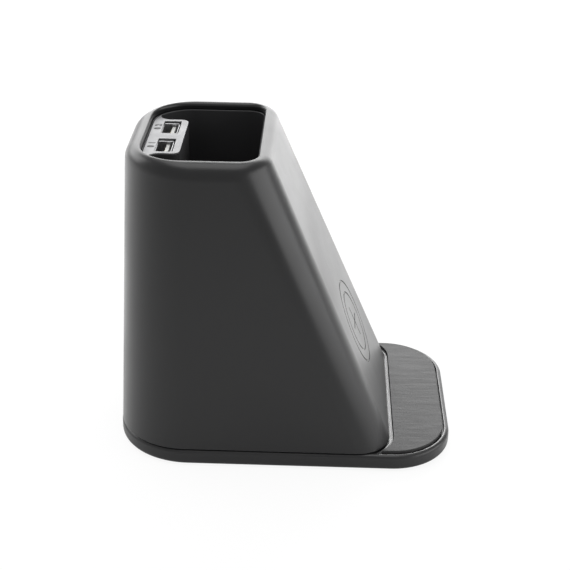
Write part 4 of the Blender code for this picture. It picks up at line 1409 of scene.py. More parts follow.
@dataclass
class SocketDock:
    """The dock in the cup's back: its shape from above, and where the two sockets stand."""

    form: HolderForm
    depth: float = 0.0136
    half_width: float = 0.0185
    corner: float = 0.0028
    least_corner: float = 0.0004
    corner_steps: int = 5
    flare: float = 0.0042
    flare_steps: int = 12
    back_steps: int = 8
    wall: float = 0.0016
    top: float = 0.1166
    pitch: float = 0.0196
    middle: float = 0.04595
    window_half: tuple[float, float] = (0.00685, 0.0033)
    window_corner: float = 0.0005

    def solid(self, name: str, inset: float, rear_gap: float, low: float, high: float) -> Piece:
        """Draws the dock from above and raises it.

        Args:
            name: The solid's name.
            inset: How far inside the dock's own outline it is.
            rear_gap: Clearance to the cup's wall, negative to run into it.
            low: Its lowest height.
            high: Its highest height.

        Returns:
            The solid.
        """
        centre = Vector((*self.form.mouth.rear_corner_centre(), 0))
        round_back = self.form.mouth.rear_corner
        reach = round_back - rear_gap
        apart = round_back - self.flare
        flare_x = self.half_width + self.flare
        flare_y = centre.y + math.sqrt(apart**2 - (flare_x - centre.x) ** 2)
        flare = self.flare + inset
        towards = math.atan2(flare_y - centre.y, flare_x - centre.x)
        turn = (reach**2 - apart**2 - flare**2) / (2 * apart * flare)
        meeting = towards + math.acos(min(turn, 1))
        side, corner = self.half_width - inset, max(self.corner - inset, self.least_corner)
        front = self.form.mouth.rear - self.depth + inset
        tip = Vector((flare_x + flare * math.cos(meeting), flare_y + flare * math.sin(meeting), 0))
        back = math.pi / 2 - math.atan2(tip.y - centre.y, tip.x - centre.x)
        sweep = meeting - math.pi
        bench = Bench(name)
        bench.start_line(side - corner, front, low)
        bench.draw_arc((side - corner, front + corner), math.pi / 2, self.corner_steps)
        bench.draw_to(side, flare_y)
        bench.draw_arc((flare_x, flare_y), sweep, self.flare_steps)
        bench.draw_to(tip.x, tip.y)
        bench.draw_arc((centre.x, centre.y), back, self.back_steps)
        bench.draw_to(-centre.x, centre.y + reach)
        bench.draw_arc((-centre.x, centre.y), back, self.back_steps)
        bench.draw_to(-tip.x, tip.y)
        bench.draw_arc((-flare_x, flare_y), sweep, self.flare_steps)
        bench.draw_to(-side, front + corner)
        bench.draw_arc((corner - side, front + corner), math.pi / 2, self.corner_steps)
        bench.draw_to(side - corner, front)
        bench.fill_line(high - low)
        return bench.take_off()

    def cut_windows(
        self, piece: Piece, low: float, high: float, shift: float, extra: float = 0.0
    ) -> None:
        """Cuts the openings that the two sockets come up through.

        Args:
            piece: The piece that is cut.
            low: The lowest height of the cut.
            high: Its highest height.
            shift: How far it is moved in depth.
            extra: How much deeper it is each way.
        """
        half_x, half_y = self.window_half[0], self.window_half[1] + extra
        opening = Outline(-half_y, half_y, half_x, self.window_corner, self.window_corner)
        for _, sign in LEFT_AND_RIGHT:
            bench = Bench("window_tool")
            bench.loft(((opening, low), (opening, high)), self.corner_steps)
            bench.move((sign * self.pitch / 2, self.middle + shift, 0))
            combine(piece, bench.take_off(), Join.CUT)


@dataclass
class PenCup:
    """The black liner that the pens stand in, with its dock for the sockets."""

    form: HolderForm
    dock: SocketDock
    corner_steps: int = 20
    wall: float = 0.0013
    draft: float = 0.001
    floor: float = 0.022
    floor_thickness: float = 0.002
    floor_round: float = 0.003
    floor_steps: int = 6
    chamfer: float = 0.0011
    rim_round: float = 0.0004
    rim_steps: int = 3
    roof: float = 0.0014
    bed: float = 0.0004
    play: float = 0.0005
    leg_radius: float = 0.003
    leg_round: float = 0.0005
    leg_round_steps: int = 2
    leg_spread: float = 0.027
    leg_depths: tuple[float, float] = (0.0163, 0.0407)

    def rings(self) -> Iterator[Ring]:
        """Goes up the cup's outside, over its rim and down to its floor.

        Returns:
            Its outlines with their heights.
        """
        form, outer = self.form, self.form.mouth.inset(-self.wall)
        yield outer.inset(self.draft), self.floor - self.floor_thickness
        yield outer, form.cup_rim - self.chamfer
        yield outer.inset(self.chamfer), form.cup_rim
        for back, down in list(quarter(self.rim_steps))[1:]:
            yield form.mouth.inset(-self.rim_round * back), form.cup_rim - self.rim_round * down
        for up, inwards in quarter(self.floor_steps):
            height = self.floor + self.floor_round * up
            share = (form.cup_rim - height) / (form.cup_rim - self.floor)
            yield form.mouth.inset(self.draft * share + self.floor_round * inwards), height

    def legs(self) -> Iterator[Piece]:
        """Makes the four legs under the cup's floor.

        Returns:
            The legs.
        """
        low = self.form.shell_floor
        high = self.floor - self.floor_thickness / 2
        for y in self.leg_depths:
            for _, sign in LEFT_AND_RIGHT:
                bench = Bench("cup_leg")
                bpy.ops.mesh.primitive_cylinder_add(
                    vertices=ROUND_SIDES,
                    radius=self.leg_radius,
                    depth=high - low,
                    location=(sign * self.leg_spread, y, (low + high) / 2),
                )
                bench.round_edges(
                    self.leg_round,
                    self.leg_round_steps,
                    lambda e: all(v.co.z < low + NEAR for v in e.verts),
                )
                yield bench.take_off()

    def make(self) -> None:
        """Builds the cup and dresses it."""
        bench = Bench("cup_liner")
        bench.loft(self.rings(), self.corner_steps)
        cup = bench.take_off()
        dock = self.dock
        bed = self.floor - self.floor_thickness / 2
        combine(cup, dock.solid("dock_block", 0, -self.bed / 2, bed, dock.top), Join.ADD)
        for leg in self.legs():
            combine(cup, leg, Join.ADD)
        low, roof = self.floor - self.floor_thickness - OVERRUN, dock.top - self.roof
        combine(cup, dock.solid("dock_hollow", dock.wall, self.bed, low, roof), Join.CUT)
        dock.cut_windows(cup, roof - OVERRUN, dock.top + OVERRUN, -self.play / 2, self.play)
        fit(smooth(cup), CUP_PLASTIC, "cup_black", "pen_cup")


@dataclass
class SocketPanel:
    """The silver plate over the dock, its two numbers and the two sockets in it."""

    form: HolderForm
    dock: SocketDock
    thickness: float = 0.0006
    edge: float = 0.00018
    edge_steps: int = 3
    window_shift: float = -0.0004
    shell_shift: float = 0.00005
    shell_half: tuple[float, float] = (0.00655, 0.0032)
    shell_corner: float = 0.0007
    shell_steps: int = 6
    sheet: float = 0.0004
    rim: float = 0.1165
    length: float = 0.0131
    finger_across: float = 0.0031
    finger_slot_half: float = 0.0011
    finger_slot_drops: tuple[float, float] = (0.0075, 0.0028)
    finger_width_share: float = 0.7
    finger_sheet_share: float = 0.6
    finger_root: tuple[float, float] = (-0.0004, 0.0012)
    finger_leans: tuple[float, float] = (-0.0004, 0.0005)
    finger_rise: float = 0.0014
    tongue_half_width: float = 0.00555
    tongue_front: float = 0.04435
    tongue_thickness: float = 0.0014
    tongue_top: float = 0.1155
    tongue_base: float = 0.0025
    tongue_round: float = 0.00025
    tongue_steps: int = 3
    groove_margin: float = 0.0002
    groove_depth: float = 0.0002
    groove_lead: float = 0.0004
    contacts: int = 4
    contact_pitch: float = 0.0021
    contact_width: float = 0.001
    contact_thickness: float = 0.0002
    contact_gap: float = 0.00015
    contact_top: float = 0.1148
    contact_length: float = 0.0062
    contact_foot: float = 0.001
    contact_round: float = 0.00006
    contact_steps: int = 2
    contact_bow: tuple[tuple[float, float], ...] = (
        (0.00012, 0.0016),
        (0.0001, 0.0014),
        (-0.00006, 0.0012),
        (-0.00016, 0.001),
    )
    number_size: float = 0.0034
    number_spacing: float = 2.2
    number_place: float = 0.04955
    number_rise: float = 0.00006
    number_weight: float = 0.00016

    def make_plate(self) -> None:
        """Builds the plate, with a window for each socket."""
        low, high = self.form.cup_rim - self.thickness, self.form.cup_rim
        plate = self.dock.solid("dock_plate", 0, TOUCH, low, high)
        self.dock.cut_windows(plate, low - OVERRUN, high + OVERRUN, self.window_shift)
        ease_edges(plate, self.edge, self.edge_steps)
        fit(smooth(plate), SILVER, "silver_paint", "socket_plate")

    def make_numbers(self) -> None:
        """Prints a plain number behind each socket."""
        for number, (side, sign) in enumerate(LEFT_AND_RIGHT, start=1):
            place = (sign * self.dock.pitch / 2, self.number_place, self.form.cup_rim)
            bpy.ops.object.select_all(action="DESELECT")
            bpy.ops.object.text_add(location=place)
            text = bpy.context.object
            text.data.body = f"{number:02d}"
            text.data.size = self.number_size
            text.data.align_x = "CENTER"
            text.data.space_character = self.number_spacing
            text.data.extrude = self.number_rise
            text.data.offset = self.number_weight
            bpy.ops.object.convert(target="MESH")
            bpy.ops.object.transform_apply(location=True, rotation=True, scale=True)
            figure = Bench.reopen(text).take_off()
            figure.name = figure.data.name = f"socket_number_{side}"
            fit(figure, MARK_PAINT, "base_black")

    def socket_shell(self) -> Piece:
        """Makes a sheet-metal sleeve with two spring fingers pressed into each long wall.

        Returns:
            The sleeve.
        """
        half_x, half_y = self.shell_half
        outline = Outline(-half_y, half_y, half_x, self.shell_corner, self.shell_corner)
        low, eased = self.rim - self.length, self.sheet / 3
        sleeve = outline.inset(self.sheet)
        rings = (
            (outline, low),
            (outline, self.rim - eased),
            (outline.inset(eased), self.rim),
            (sleeve.inset(-eased), self.rim),
            (sleeve, self.rim - eased),
            (sleeve, low),
        )
        bench = Bench("socket_sleeve")
        bench.loft(rings, self.shell_steps, closed=True)
        shell = bench.take_off()
        for sign in (-1, 1):
            for x in (-self.finger_across, self.finger_across):
                self.press_finger(shell, sign, x)
        return shell

    def press_finger(self, shell: Piece, sign: int, x: float) -> None:
        """Cuts a slot in a sleeve's long wall and stands a spring finger in it.

        Args:
            shell: The sleeve.
            sign: Minus one for its front wall and one for its rear wall.
            x: The finger's place across.
        """
        low, high = (self.rim - drop for drop in self.finger_slot_drops)
        half, middle = self.finger_slot_half, sign * self.shell_half[1]
        slot_low = (x - half, middle - 2 * self.sheet, low)
        slot = brick("finger_slot", slot_low, (x + half, middle + 2 * self.sheet, high))
        combine(shell, slot, Join.CUT)
        half *= self.finger_width_share
        wall = sign * (self.shell_half[1] - self.sheet)
        near, far = sorted((wall, wall + sign * self.sheet * self.finger_sheet_share))
        below, above = self.finger_root
        finger = Bench("spring_finger")
        finger.block((x - half, near, low + below), (x + half, far, low + above))
        for lean in self.finger_leans:
            finger.grow_top((0, sign * lean, self.finger_rise))
        combine(shell, finger.take_off(), Join.ADD)

    def tongue(self) -> Piece:
        """Makes the pale tongue on its base block, with a groove for each contact.

        Returns:
            The tongue.
        """
        half_x, half_y = (half - self.sheet - TOUCH for half in self.shell_half)
        low, top = self.rim - self.length, self.tongue_top
        front = self.tongue_front - self.dock.middle
        rear = front + self.tongue_thickness
        high = (half_x, half_y, low + self.tongue_base)
        base = brick("socket_blade", (-half_x, -half_y, low), high)
        bench = Bench("blade")
        blade_low = (-self.tongue_half_width, front, low + self.tongue_base / 2)
        bench.block(blade_low, (self.tongue_half_width, rear, top))
        bench.round_edges(
            self.tongue_round,
            self.tongue_steps,
            lambda e: all(v.co.z > top - NEAR for v in e.verts),
        )
        combine(base, bench.take_off(), Join.ADD)
        low, high = self.contact_top - self.contact_length, self.contact_top + self.groove_lead
        half = self.contact_width / 2 + self.groove_margin
        for x in self.contact_places():
            groove_low = (x - half, rear - self.groove_depth, low)
            groove = brick("contact_groove", groove_low, (x + half, rear + OVERRUN / 2, high))
            combine(base, groove, Join.CUT)
        return base

    def contact_places(self) -> list[float]:
        """Sideways places of the contacts, from the socket's middle."""
        middle = (self.contacts - 1) / 2
        return [(number - middle) * self.contact_pitch for number in range(self.contacts)]

    def contact(self) -> Piece:
        """Makes one contact blade, bowed off the tongue with its tip turned back in.

        Returns:
            The contact.
        """
        rear = self.tongue_front - self.dock.middle + self.tongue_thickness + self.contact_gap
        half = self.contact_width / 2
        low = self.contact_top - self.contact_length
        bench = Bench("contact_blade")
        high = (half, rear + self.contact_thickness, low + self.contact_foot)
        bench.block((-half, rear, low), high)
        for lean, rise in self.contact_bow:
            bench.grow_top((0, lean, rise))
        bench.round_edges(
            self.contact_round,
            self.contact_steps,
            lambda e: abs(e.verts[0].co.x - e.verts[1].co.x) < NEAR,
        )
        return bench.take_off()

    def make_sockets(self) -> None:
        """Builds one socket, then sets a copy of each of its pieces in both places."""
        masters = (
            (self.socket_shell(), self.shell_shift, "sleeve", "shell", STEEL, "bright_steel"),
            (self.tongue(), 0.0, "blade", "tongue", PALE_PLASTIC, "white_plastic"),
        )
        for master, shift, name, node, finish, slot in masters:
            copies = [
                (
                    f"socket_{name}_{side}",
                    f"socket_{node}_{side}",
                    (sign * self.dock.pitch / 2, self.dock.middle + shift, 0),
                )
                for side, sign in LEFT_AND_RIGHT
            ]
            fit_copies(master, finish, slot, copies)
        copies = [
            (
                f"contact_blade_{side}_{number}",
                f"socket_contact_{side}_{number}",
                (sign * self.dock.pitch / 2 + x, self.dock.middle, 0),
            )
            for side, sign in LEFT_AND_RIGHT
            for number, x in enumerate(self.contact_places(), start=1)
        ]
        fit_copies(self.contact(), GOLD, "contact_gold", copies)

    def make(self) -> None:
        """Builds the plate, the numbers and the sockets."""
        self.make_plate()
        self.make_numbers()
        self.make_sockets()


@dataclass
class Base:
    """The tray under the body, and the rubber pad of its ledge."""

    form: HolderForm
    screws: Fasteners
    corner_steps: int = 24
    lower_round: float = 0.002
    lower_steps: int = 6
    upper_round: float = 0.0016
    upper_steps: int = 5
    skirt: float = 0.0029
    deck: float = 0.0022
    rim: float = 0.0017
    inner_rim: float = 0.0013
    inner_round: float = 0.0001
    inner_steps: int = 5
    groove: float = 0.0009
    inner_groove: float = 0.0002
    seam: float = 0.0004
    seam_depth: float = 0.0008
    recess: float = 0.0026
    bed: float = 0.0034
    pad_rise: float = 0.0010
    pad_edge: float = 0.00012
    pad_steps: int = 4
    spigot_wall: float = 0.0016
    spigot_height: float = 0.004
    spigot_steps: int = 12
    post_radius: float = 0.0026
    post_bore: float = 0.0011
    post_top: float = 0.0107
    post_across: float = 0.0165
    post_depths: tuple[float, float] = (0.0149, 0.0564)

    def tray_rings(self) -> Iterator[Ring]:
        """Goes from under the tray's deck, round its skirt and up to its deck.

        Returns:
            Its outlines with their heights.
        """
        base, floor, top = self.form.base, self.form.base_floor, self.form.rim_height
        yield base.inset(self.skirt), top - self.deck
        yield base.inset(self.skirt), floor + DRAFT
        for inwards, up in quarter(self.lower_steps):
            yield base.inset(self.lower_round * inwards), floor + self.lower_round * up
        for down, inwards in quarter(self.upper_steps):
            yield base.inset(self.upper_round * inwards), top - self.upper_round * down

    def ledge_solid(
        self, name: str, rim: float, inner_rim: float, low: float, high: float
    ) -> Piece:
        """The part of the ledge in front of the body, as a solid.

        Args:
            name: The solid's name.
            rim: How far in from the tray's edge it stays.
            inner_rim: How far off the body it stays.
            low: Its lowest height.
            high: Its highest height.

        Returns:
            The solid.
        """
        ledge = prism(name, self.form.base.inset(rim), low, high, self.corner_steps)
        combine(ledge, self.body_space(inner_rim, low, high), Join.CUT)
        return ledge

    def body_space(self, margin: float, low: float, high: float) -> Piece:
        """The space of the body with a margin, as a tool for what lies from low to high."""
        body = self.form.foot.inset(-margin)
        return prism("body_space", body, low - OVERRUN, high + OVERRUN, self.corner_steps)

    def spigot(self, root: float) -> Piece:
        """Makes the low wall that locates the body, with a gap at each screw boss.

        Args:
            root: The height from which it rises.

        Returns:
            The wall.
        """
        form, outside = self.form, self.form.shell_wall + TOUCH
        top, inside = form.rim_height + self.spigot_height, outside + self.spigot_wall
        section = (
            (outside, root),
            (outside, top),
            (inside, top - DRAFT),
            (inside, root + DRAFT),
        )
        rings = [(form.body_at(height).inset(inset), height) for inset, height in section]
        bench = Bench("spigot")
        bench.loft(rings, self.spigot_steps, closed=True)
        spigot = bench.take_off()
        gap = rod_profile(self.screws.boss + TOUCH, root - OVERRUN, top + OVERRUN)
        for x, y in self.screws.case_places():
            combine(spigot, turned("boss_gap", gap, x, y), Join.CUT)
        return spigot

    def make_tray(self) -> None:
        """Builds the tray."""
        deck_top, root = self.form.rim_height, self.form.rim_height - self.deck / 2
        bench = Bench("tray")
        bench.loft(self.tray_rings(), self.corner_steps)
        tray = bench.take_off()
        combine(tray, self.spigot(root), Join.ADD)
        bore = self.post_bore
        floor = deck_top + TOUCH
        outside = rod_profile(self.post_radius, root, self.post_top)
        post = (*outside[:3], (bore, self.post_top), (bore, floor), (0, floor))
        for y in self.post_depths:
            for _, sign in LEFT_AND_RIGHT:
                combine(tray, turned("board_post", post, sign * self.post_across, y), Join.ADD)
        above = deck_top + OVERRUN
        hole = rod_profile(self.screws.boss_bore, deck_top - self.deck - OVERRUN, above)
        for x, y in self.screws.case_places():
            combine(tray, turned("deck_hole", hole, x, y), Join.CUT)
        ledge = ("ledge_bed", self.skirt / 2, self.inner_rim / 2)
        combine(tray, self.ledge_solid(*ledge, deck_top - self.bed, root), Join.ADD)
        recess = ("recess", self.rim, self.inner_rim)
        combine(tray, self.ledge_solid(*recess, deck_top - self.recess, above), Join.CUT)
        self.cut_seam(tray)
        self.round_inner_rim(tray)
        fit(smooth(tray), BASE_PLASTIC, "base_black", "base_tray")

    def cut_seam(self, tray: Piece) -> None:
        """Cuts the narrow groove that parts the ledge from the body.

        Args:
            tray: The tray.
        """
        low = self.form.rim_height - self.seam_depth
        high = self.form.rim_height + 2 * OVERRUN
        seam = self.ledge_solid("seam", self.rim, -self.seam, low, high)
        combine(seam, self.body_space(self.seam, low, high), Join.KEEP)
        combine(tray, seam, Join.CUT)

    def round_inner_rim(self, tray: Piece) -> None:
        """Rounds the edge of the narrow rim between the body and the pad's recess.

        Args:
            tray: The tray.
        """
        edge, height = self.form.foot.inset(-self.inner_rim), self.form.rim_height
        bench = Bench.reopen(tray)
        bench.round_edges(
            self.inner_round,
            self.inner_steps,
            lambda e: all(
                abs(v.co.z - height) < NEAR and abs(edge.distance(v.co.x, v.co.y)) < 10 * NEAR
                for v in e.verts
            ),
        )
        bench.take_off()

    def make_pad(self) -> None:
        """Builds the rubber pad that lies in the ledge's recess."""
        high = self.form.rim_height + self.pad_rise
        low = self.form.rim_height - self.recess + TOUCH
        rim, inner_rim = self.rim + self.groove, self.inner_rim + self.inner_groove
        pad = self.ledge_solid("ledge_mat", rim, inner_rim, low, high)
        ease_edges(pad, self.pad_edge, self.pad_steps)
        fit(smooth(pad), PAD_RUBBER, "pad_rubber", "ledge_pad")

    def make(self) -> None:
        """Builds the tray and its pad."""
        self.make_tray()
        self.make_pad()


@dataclass
class Underside:
    """The cover that closes the base from below, and its four rubber feet."""

    form: HolderForm
    screws: Fasteners
    cover_inset: float = 0.0032
    cover_edge: float = 0.0002
    thickness: float = 0.0016
    boss: float = 0.0032
    boss_top: float = 0.0043
    head_hole: float = 0.0024
    web: float = 0.0025
    foot_radius: float = 0.006
    foot_thickness: float = 0.0015
    foot_edge: float = 0.0004
    foot_steps: int = 4
    tread_width: float = 0.0016
    tread_depth: float = 0.0002
    foot_places: tuple[tuple[str, float, float], ...] = (
        ("front", 0.02878, -0.04878),
        ("rear", 0.02732, 0.04732),
    )
    corner_steps: int = 16

    def foot_profile(self) -> Profile:
        """Section of a foot: a flat tread round a shallow hollow, with a rounded edge.

        Returns:
            Distances from the axis with their heights.
        """
        inside = self.foot_radius - self.foot_edge - self.tread_width
        hollow = self.tread_depth
        profile = [(0.0, hollow), (inside - hollow, hollow), (inside, 0.0)]
        for out, up in quarter(self.foot_steps):
            profile.append((self.foot_radius - self.foot_edge * out, self.foot_edge * up))
        return [*profile, (self.foot_radius, self.foot_thickness), (0.0, self.foot_thickness)]

    def make_cover(self) -> None:
        """Builds the cover, with its bosses, screw holes and pockets for the feet."""
        low = self.form.base_floor
        top = low + self.thickness
        edge = self.form.base.inset(self.cover_inset)
        eased = edge.inset(self.cover_edge)
        bench = Bench("cover_plate")
        bench.loft(((eased, low), (edge, low + self.cover_edge), (edge, top)), self.corner_steps)
        cover = bench.take_off()
        below, above = low - OVERRUN, self.boss_top + OVERRUN
        boss = rod_profile(self.boss, top - OVERRUN / 4, self.boss_top)
        stepped = (
            *rod_profile(self.head_hole, below, self.web)[:3],
            *rod_profile(self.screws.boss_bore, self.web, above)[1:],
        )
        for x, y in self.screws.case_places():
            combine(cover, turned("cover_boss", boss, x, y), Join.ADD)
            combine(cover, turned("cover_hole", stepped, x, y), Join.CUT)
        pocket = rod_profile(self.foot_radius + TOUCH, below, self.foot_thickness + TOUCH)
        for _, across, y in self.foot_places:
            for _, sign in LEFT_AND_RIGHT:
                combine(cover, turned("foot_pocket", pocket, sign * across, y), Join.CUT)
        fit(smooth(cover), COVER_PLASTIC, "cover_black", "bottom_cover")

    def make(self) -> None:
        """Builds the cover, then one foot, and sets a copy of it in each pocket."""
        self.make_cover()
        foot = turned("foot", self.foot_profile(), sides=2 * ROUND_SIDES)
        copies = [
            (f"foot_disc_{end}_{side}", f"rubber_foot_{end}_{side}", (sign * across, y, 0))
            for end, across, y in self.foot_places
            for side, sign in LEFT_AND_RIGHT
        ]
        fit_copies(foot, FOOT_RUBBER, "foot_rubber", copies)


@dataclass
class PowerInlet:
    """The power inlet at the back: a metal sleeve round a thin tongue with its contacts."""

    half_width: float = 0.00447
    half_height: float = 0.0016
    middle: float = 0.0145
    inner_end: float = 0.0562
    mouth: float = 0.0635
    sheet: float = 0.0003
    mouth_round: float = 0.0001
    round_steps: int = 3
    plug_end: float = 0.0584
    blade_half: tuple[float, float] = (0.00335, 0.00035)
    blade_tip: float = 0.0625
    blade_round: float = 0.0002
    contact_pitch: float = 0.00055
    contact_width: float = 0.00028
    contact_rise: float = 0.00006
    contact_ends: tuple[float, float] = (0.0588, 0.0621)
    contacts: int = 10

    def slot(self, name: str, inset: float, near: float, far: float) -> Piece:
        """Makes a solid inset from the sleeve's outline, from near to far in depth."""
        half = (self.half_width - inset, self.half_height - inset)
        return slot_tool(name, *half, self.middle, near, far)

    def round_tip(self, bench: Bench, radius: float, tip: float) -> None:
        """Rounds the edges at the rear end of a piece.

        Args:
            bench: The piece's bench.
            radius: Radius of the rounding.
            tip: Depth of the rear end.
        """
        bench.round_edges(
            radius, self.round_steps, lambda e: all(v.co.y > tip - NEAR for v in e.verts)
        )

    def make_sleeve(self) -> None:
        """Builds the metal sleeve, open at both ends."""
        near, far = self.inner_end, self.mouth
        sleeve = self.slot("inlet_sleeve", 0, near, far)
        bore = self.slot("inlet_bore", self.sheet, near - OVERRUN, far + OVERRUN)
        combine(sleeve, bore, Join.CUT)
        bench = Bench.reopen(sleeve)
        self.round_tip(bench, self.mouth_round, far)
        fit(smooth(bench.take_off()), STEEL, "bright_steel", "inlet_shell")

    def make_tongue(self) -> None:
        """Builds the tongue on its plug, and the contacts on both of its faces."""
        plug = self.slot("inlet_blade", self.sheet + TOUCH, self.inner_end, self.plug_end)
        half_x, half_z = self.blade_half
        bench = Bench("blade")
        low = (-half_x, self.plug_end - OVERRUN / 2, self.middle - half_z)
        bench.block(low, (half_x, self.blade_tip, self.middle + half_z))
        self.round_tip(bench, self.blade_round, self.blade_tip)
        combine(plug, bench.take_off(), Join.ADD)
        fit(smooth(plug), DARK_PLASTIC, "chip_black", "inlet_tongue")
        bench = Bench("inlet_contacts")
        near, far = self.contact_ends
        half = self.contact_width / 2
        for number in range(self.contacts):
            x = (number - (self.contacts - 1) / 2) * self.contact_pitch
            for sign in (-1, 1):
                heights = (half_z, half_z + self.contact_rise)
                low, high = sorted(self.middle + sign * height for height in heights)
                bench.block((x - half, near, low), (x + half, far, high))
        fit(smooth(bench.take_off()), GOLD, "contact_gold")

    def make(self) -> None:
        """Builds the sleeve and the tongue."""
        self.make_sleeve()
        self.make_tongue()


@dataclass
class ChargingCoil:
    """The charging coil behind the slope: one enamelled wire wound in a flat spiral."""

    form: HolderForm
    turns: int = 8
    inner_radius: float = 0.0102
    pitch: float = 0.00155
    wire: float = 0.0011
    depth: float = 0.00085
    points_per_turn: int = 48
    roundness: int = 4

    def route(self) -> list[Vector]:
        """Follows the wire, with a straight piece as long as it is thick at each end.

        Returns:
            Points along the wire.
        """
        points = []
        for number in range(self.turns * self.points_per_turn + 1):
            turn = number / self.points_per_turn
            radius = self.inner_radius + self.pitch * turn
            angle = math.tau * turn - math.pi / 2
            across, along = radius * math.cos(angle), radius * math.sin(angle)
            points.append(self.form.behind_slope(along, self.depth, across))
        first = points[0] + (points[0] - points[1]).normalized() * self.wire
        last = points[-1] + (points[-1] - points[-2]).normalized() * self.wire
        return [first, *points, last]

    def make(self) -> None:
        """Draws the spiral, gives it the wire's round section and dresses it."""
        bench = Bench("coil_winding")
        bench.draw_through(self.route())
        activate(bench.take_off())
        bpy.ops.object.convert(target="CURVE")
        line = bpy.context.object.data
        line.dimensions = "3D"
        line.bevel_depth = self.wire / 2
        line.bevel_resolution = self.roundness
        line.use_fill_caps = True
        bpy.ops.object.convert(target="MESH")
        winding = Bench.reopen(bpy.context.object).take_off()
        winding.name = winding.data.name = "coil_winding"
        fit(smooth(winding), COPPER, "coil_copper", "charging_coil")


@dataclass
class InnerLeads:
    """The two leads inside: up the dock to the sockets, and from the coil to its board."""

    form: HolderForm
    socket_diameter: float = 0.0024
    socket_place: tuple[float, float] = (0.0095, 0.04595)
    socket_heights: tuple[float, ...] = (0.0160, 0.0208, 0.05855, 0.0963, 0.1011)
    socket_bow: float = 0.0018
    coil_diameter: float = 0.002
    coil_start: tuple[float, float] = (-0.02345, 0.0016)
    coil_leave: tuple[float, float] = (-0.0276, 0.0016)
    coil_slack: tuple[float, float] = (-0.0376, 0.0066)
    board_approach: tuple[tuple[float, float, float], ...] = (
        (0, 0.0024, 0.0193),
        (0, 0.0074, 0.0143),
        (0, 0.0114, 0.0143),
    )
    socket_spacing: float = 0.005
    coil_spacing: float = 0.0032
    roundness: int = 6

    def add(self, name: str, points: list[Vector], diameter: float, node: str) -> None:
        """Args:
            name: The lead's name.
            points: The points of its middle line.
            diameter: Its diameter.
            node: The CAD node that it stands for.
        """
        line = bpy.data.curves.new(name, "CURVE")
        line.dimensions = "3D"
        line.resolution_u = line.bevel_resolution = self.roundness
        line.bevel_depth = diameter / 2
        line.use_fill_caps = True
        spline = line.splines.new("BEZIER")
        spline.bezier_points.add(len(points) - 1)
        for knot, point in zip(spline.bezier_points, points):
            knot.co = point
            knot.handle_left_type = knot.handle_right_type = "AUTO"
        lead = bpy.data.objects.new(name, line)
        bpy.context.collection.objects.link(lead)
        fit(lead, LEAD_SLEEVE, "lead_black", node)
        length = sum((there - here).length for here, there in zip(points, points[1:]))
        tuple(points[0])

    def make(self) -> None:
        """Lays both leads."""
        upright = [Vector((*self.socket_place, height)) for height in self.socket_heights]
        upright[2].x += self.socket_bow
        route = smooth_route(upright, self.socket_spacing)
        self.add("dock_lead", route, self.socket_diameter, "socket_lead")
        behind = (self.coil_start, self.coil_leave, self.coil_slack)
        points = [self.form.behind_slope(*place) for place in behind]
        points += [Vector(place) for place in self.board_approach]
        route = smooth_route(points, self.coil_spacing)
        self.add("winding_lead", route, self.coil_diameter, "coil_lead")


def smooth_route(points: Sequence[Vector], spacing: float) -> list[Vector]:
    """Finds points about a spacing apart on a smooth curve, which is straight at its ends.

    Args:
        points: What the curve goes through.
        spacing: About how far apart the points are to be.

    Returns:
        The points.
    """
    chords = [there - here for here, there in zip(points, points[1:])]
    headings = [chords[0].normalized()]
    for before, after in zip(chords, chords[1:]):
        heading = before.normalized() * after.length + after.normalized() * before.length
        headings.append(heading.normalized())
    headings.append(chords[-1].normalized())
    route = []
    for start, chord, leaving, arriving in zip(points, chords, headings, headings[1:]):
        steps = max(round(chord.length / spacing), 1)
        for step in range(steps):
            t = step / steps
            bend = leaving * (t**3 - 2 * t**2 + t) + arriving * (t**3 - t**2)
            route.append(start + chord * (3 * t**2 - 2 * t**3) + bend * chord.length)
    return [*route, points[-1]]


@dataclass
class KeptNodes:
    """CAD nodes that stay as they are and only get a finish, by how their names start."""

    finishes: dict[str, Finish] = field(
        default_factory=lambda: {
            "board_screw": STEEL,
            "carrier_screw": STEEL,
            "socket_board_screw": STEEL,
            "charger_board": BOARD,
            "socket_board": BOARD,
            "driver_chip": CHIP_RESIN,
            "power_inductor": FERRITE,
            "filter_capacitor": STEEL,
            "coil_lead_header": PALE_PLASTIC,
            "socket_lead_header": PALE_PLASTIC,
            "ferrite_sheet": FERRITE,
            "coil_carrier": DARK_PLASTIC,
        }
    )

    def finish_of(self, node: str) -> Finish | None:
        """The finish whose name is the longest start of a node's name, if there is one."""
        fitting = [start for start in self.finishes if node.startswith(start)]
        return self.finishes[max(fitting, key=len)] if fitting else None

    def dress(self) -> None:
        """Gives each CAD node that still shows its finish."""
        for name, node in sorted(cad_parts.items()):
            if node.hide_render:
                continue
            finish = self.finish_of(name)
            if finish is None:
                LOG.warning("%s has no finish", name)
                continue
            node.data.materials.clear()
            node.data.materials.append(material_of(finish))
            LOG.info("%s: CAD node, %s", name, finish.name)


@dataclass(frozen=True)
class Lamp:
    """A soft rectangular light, the point that it faces and how wide its beam is in degrees."""

    name: str
    place: tuple[float, float, float]
    size: tuple[float, float]
    power: float
    aim: tuple[float, float, float] = (0.0, 0.0, 0.055)
    spread: float = 180.0

    def hang(self) -> None:
        """Hangs the light."""
        bpy.ops.object.select_all(action="DESELECT")
        bpy.ops.object.light_add(type="AREA", location=self.place)
        light = bpy.context.object
        light.name = light.data.name = self.name
        light.data.shape = "RECTANGLE"
        light.data.size, light.data.size_y = self.size
        light.data.energy = self.power
        light.data.spread = math.radians(self.spread)
        aim = Vector(self.aim) - Vector(self.place)
        light.rotation_mode = "QUATERNION"
        light.rotation_quaternion = aim.to_track_quat("-Z", "Y")


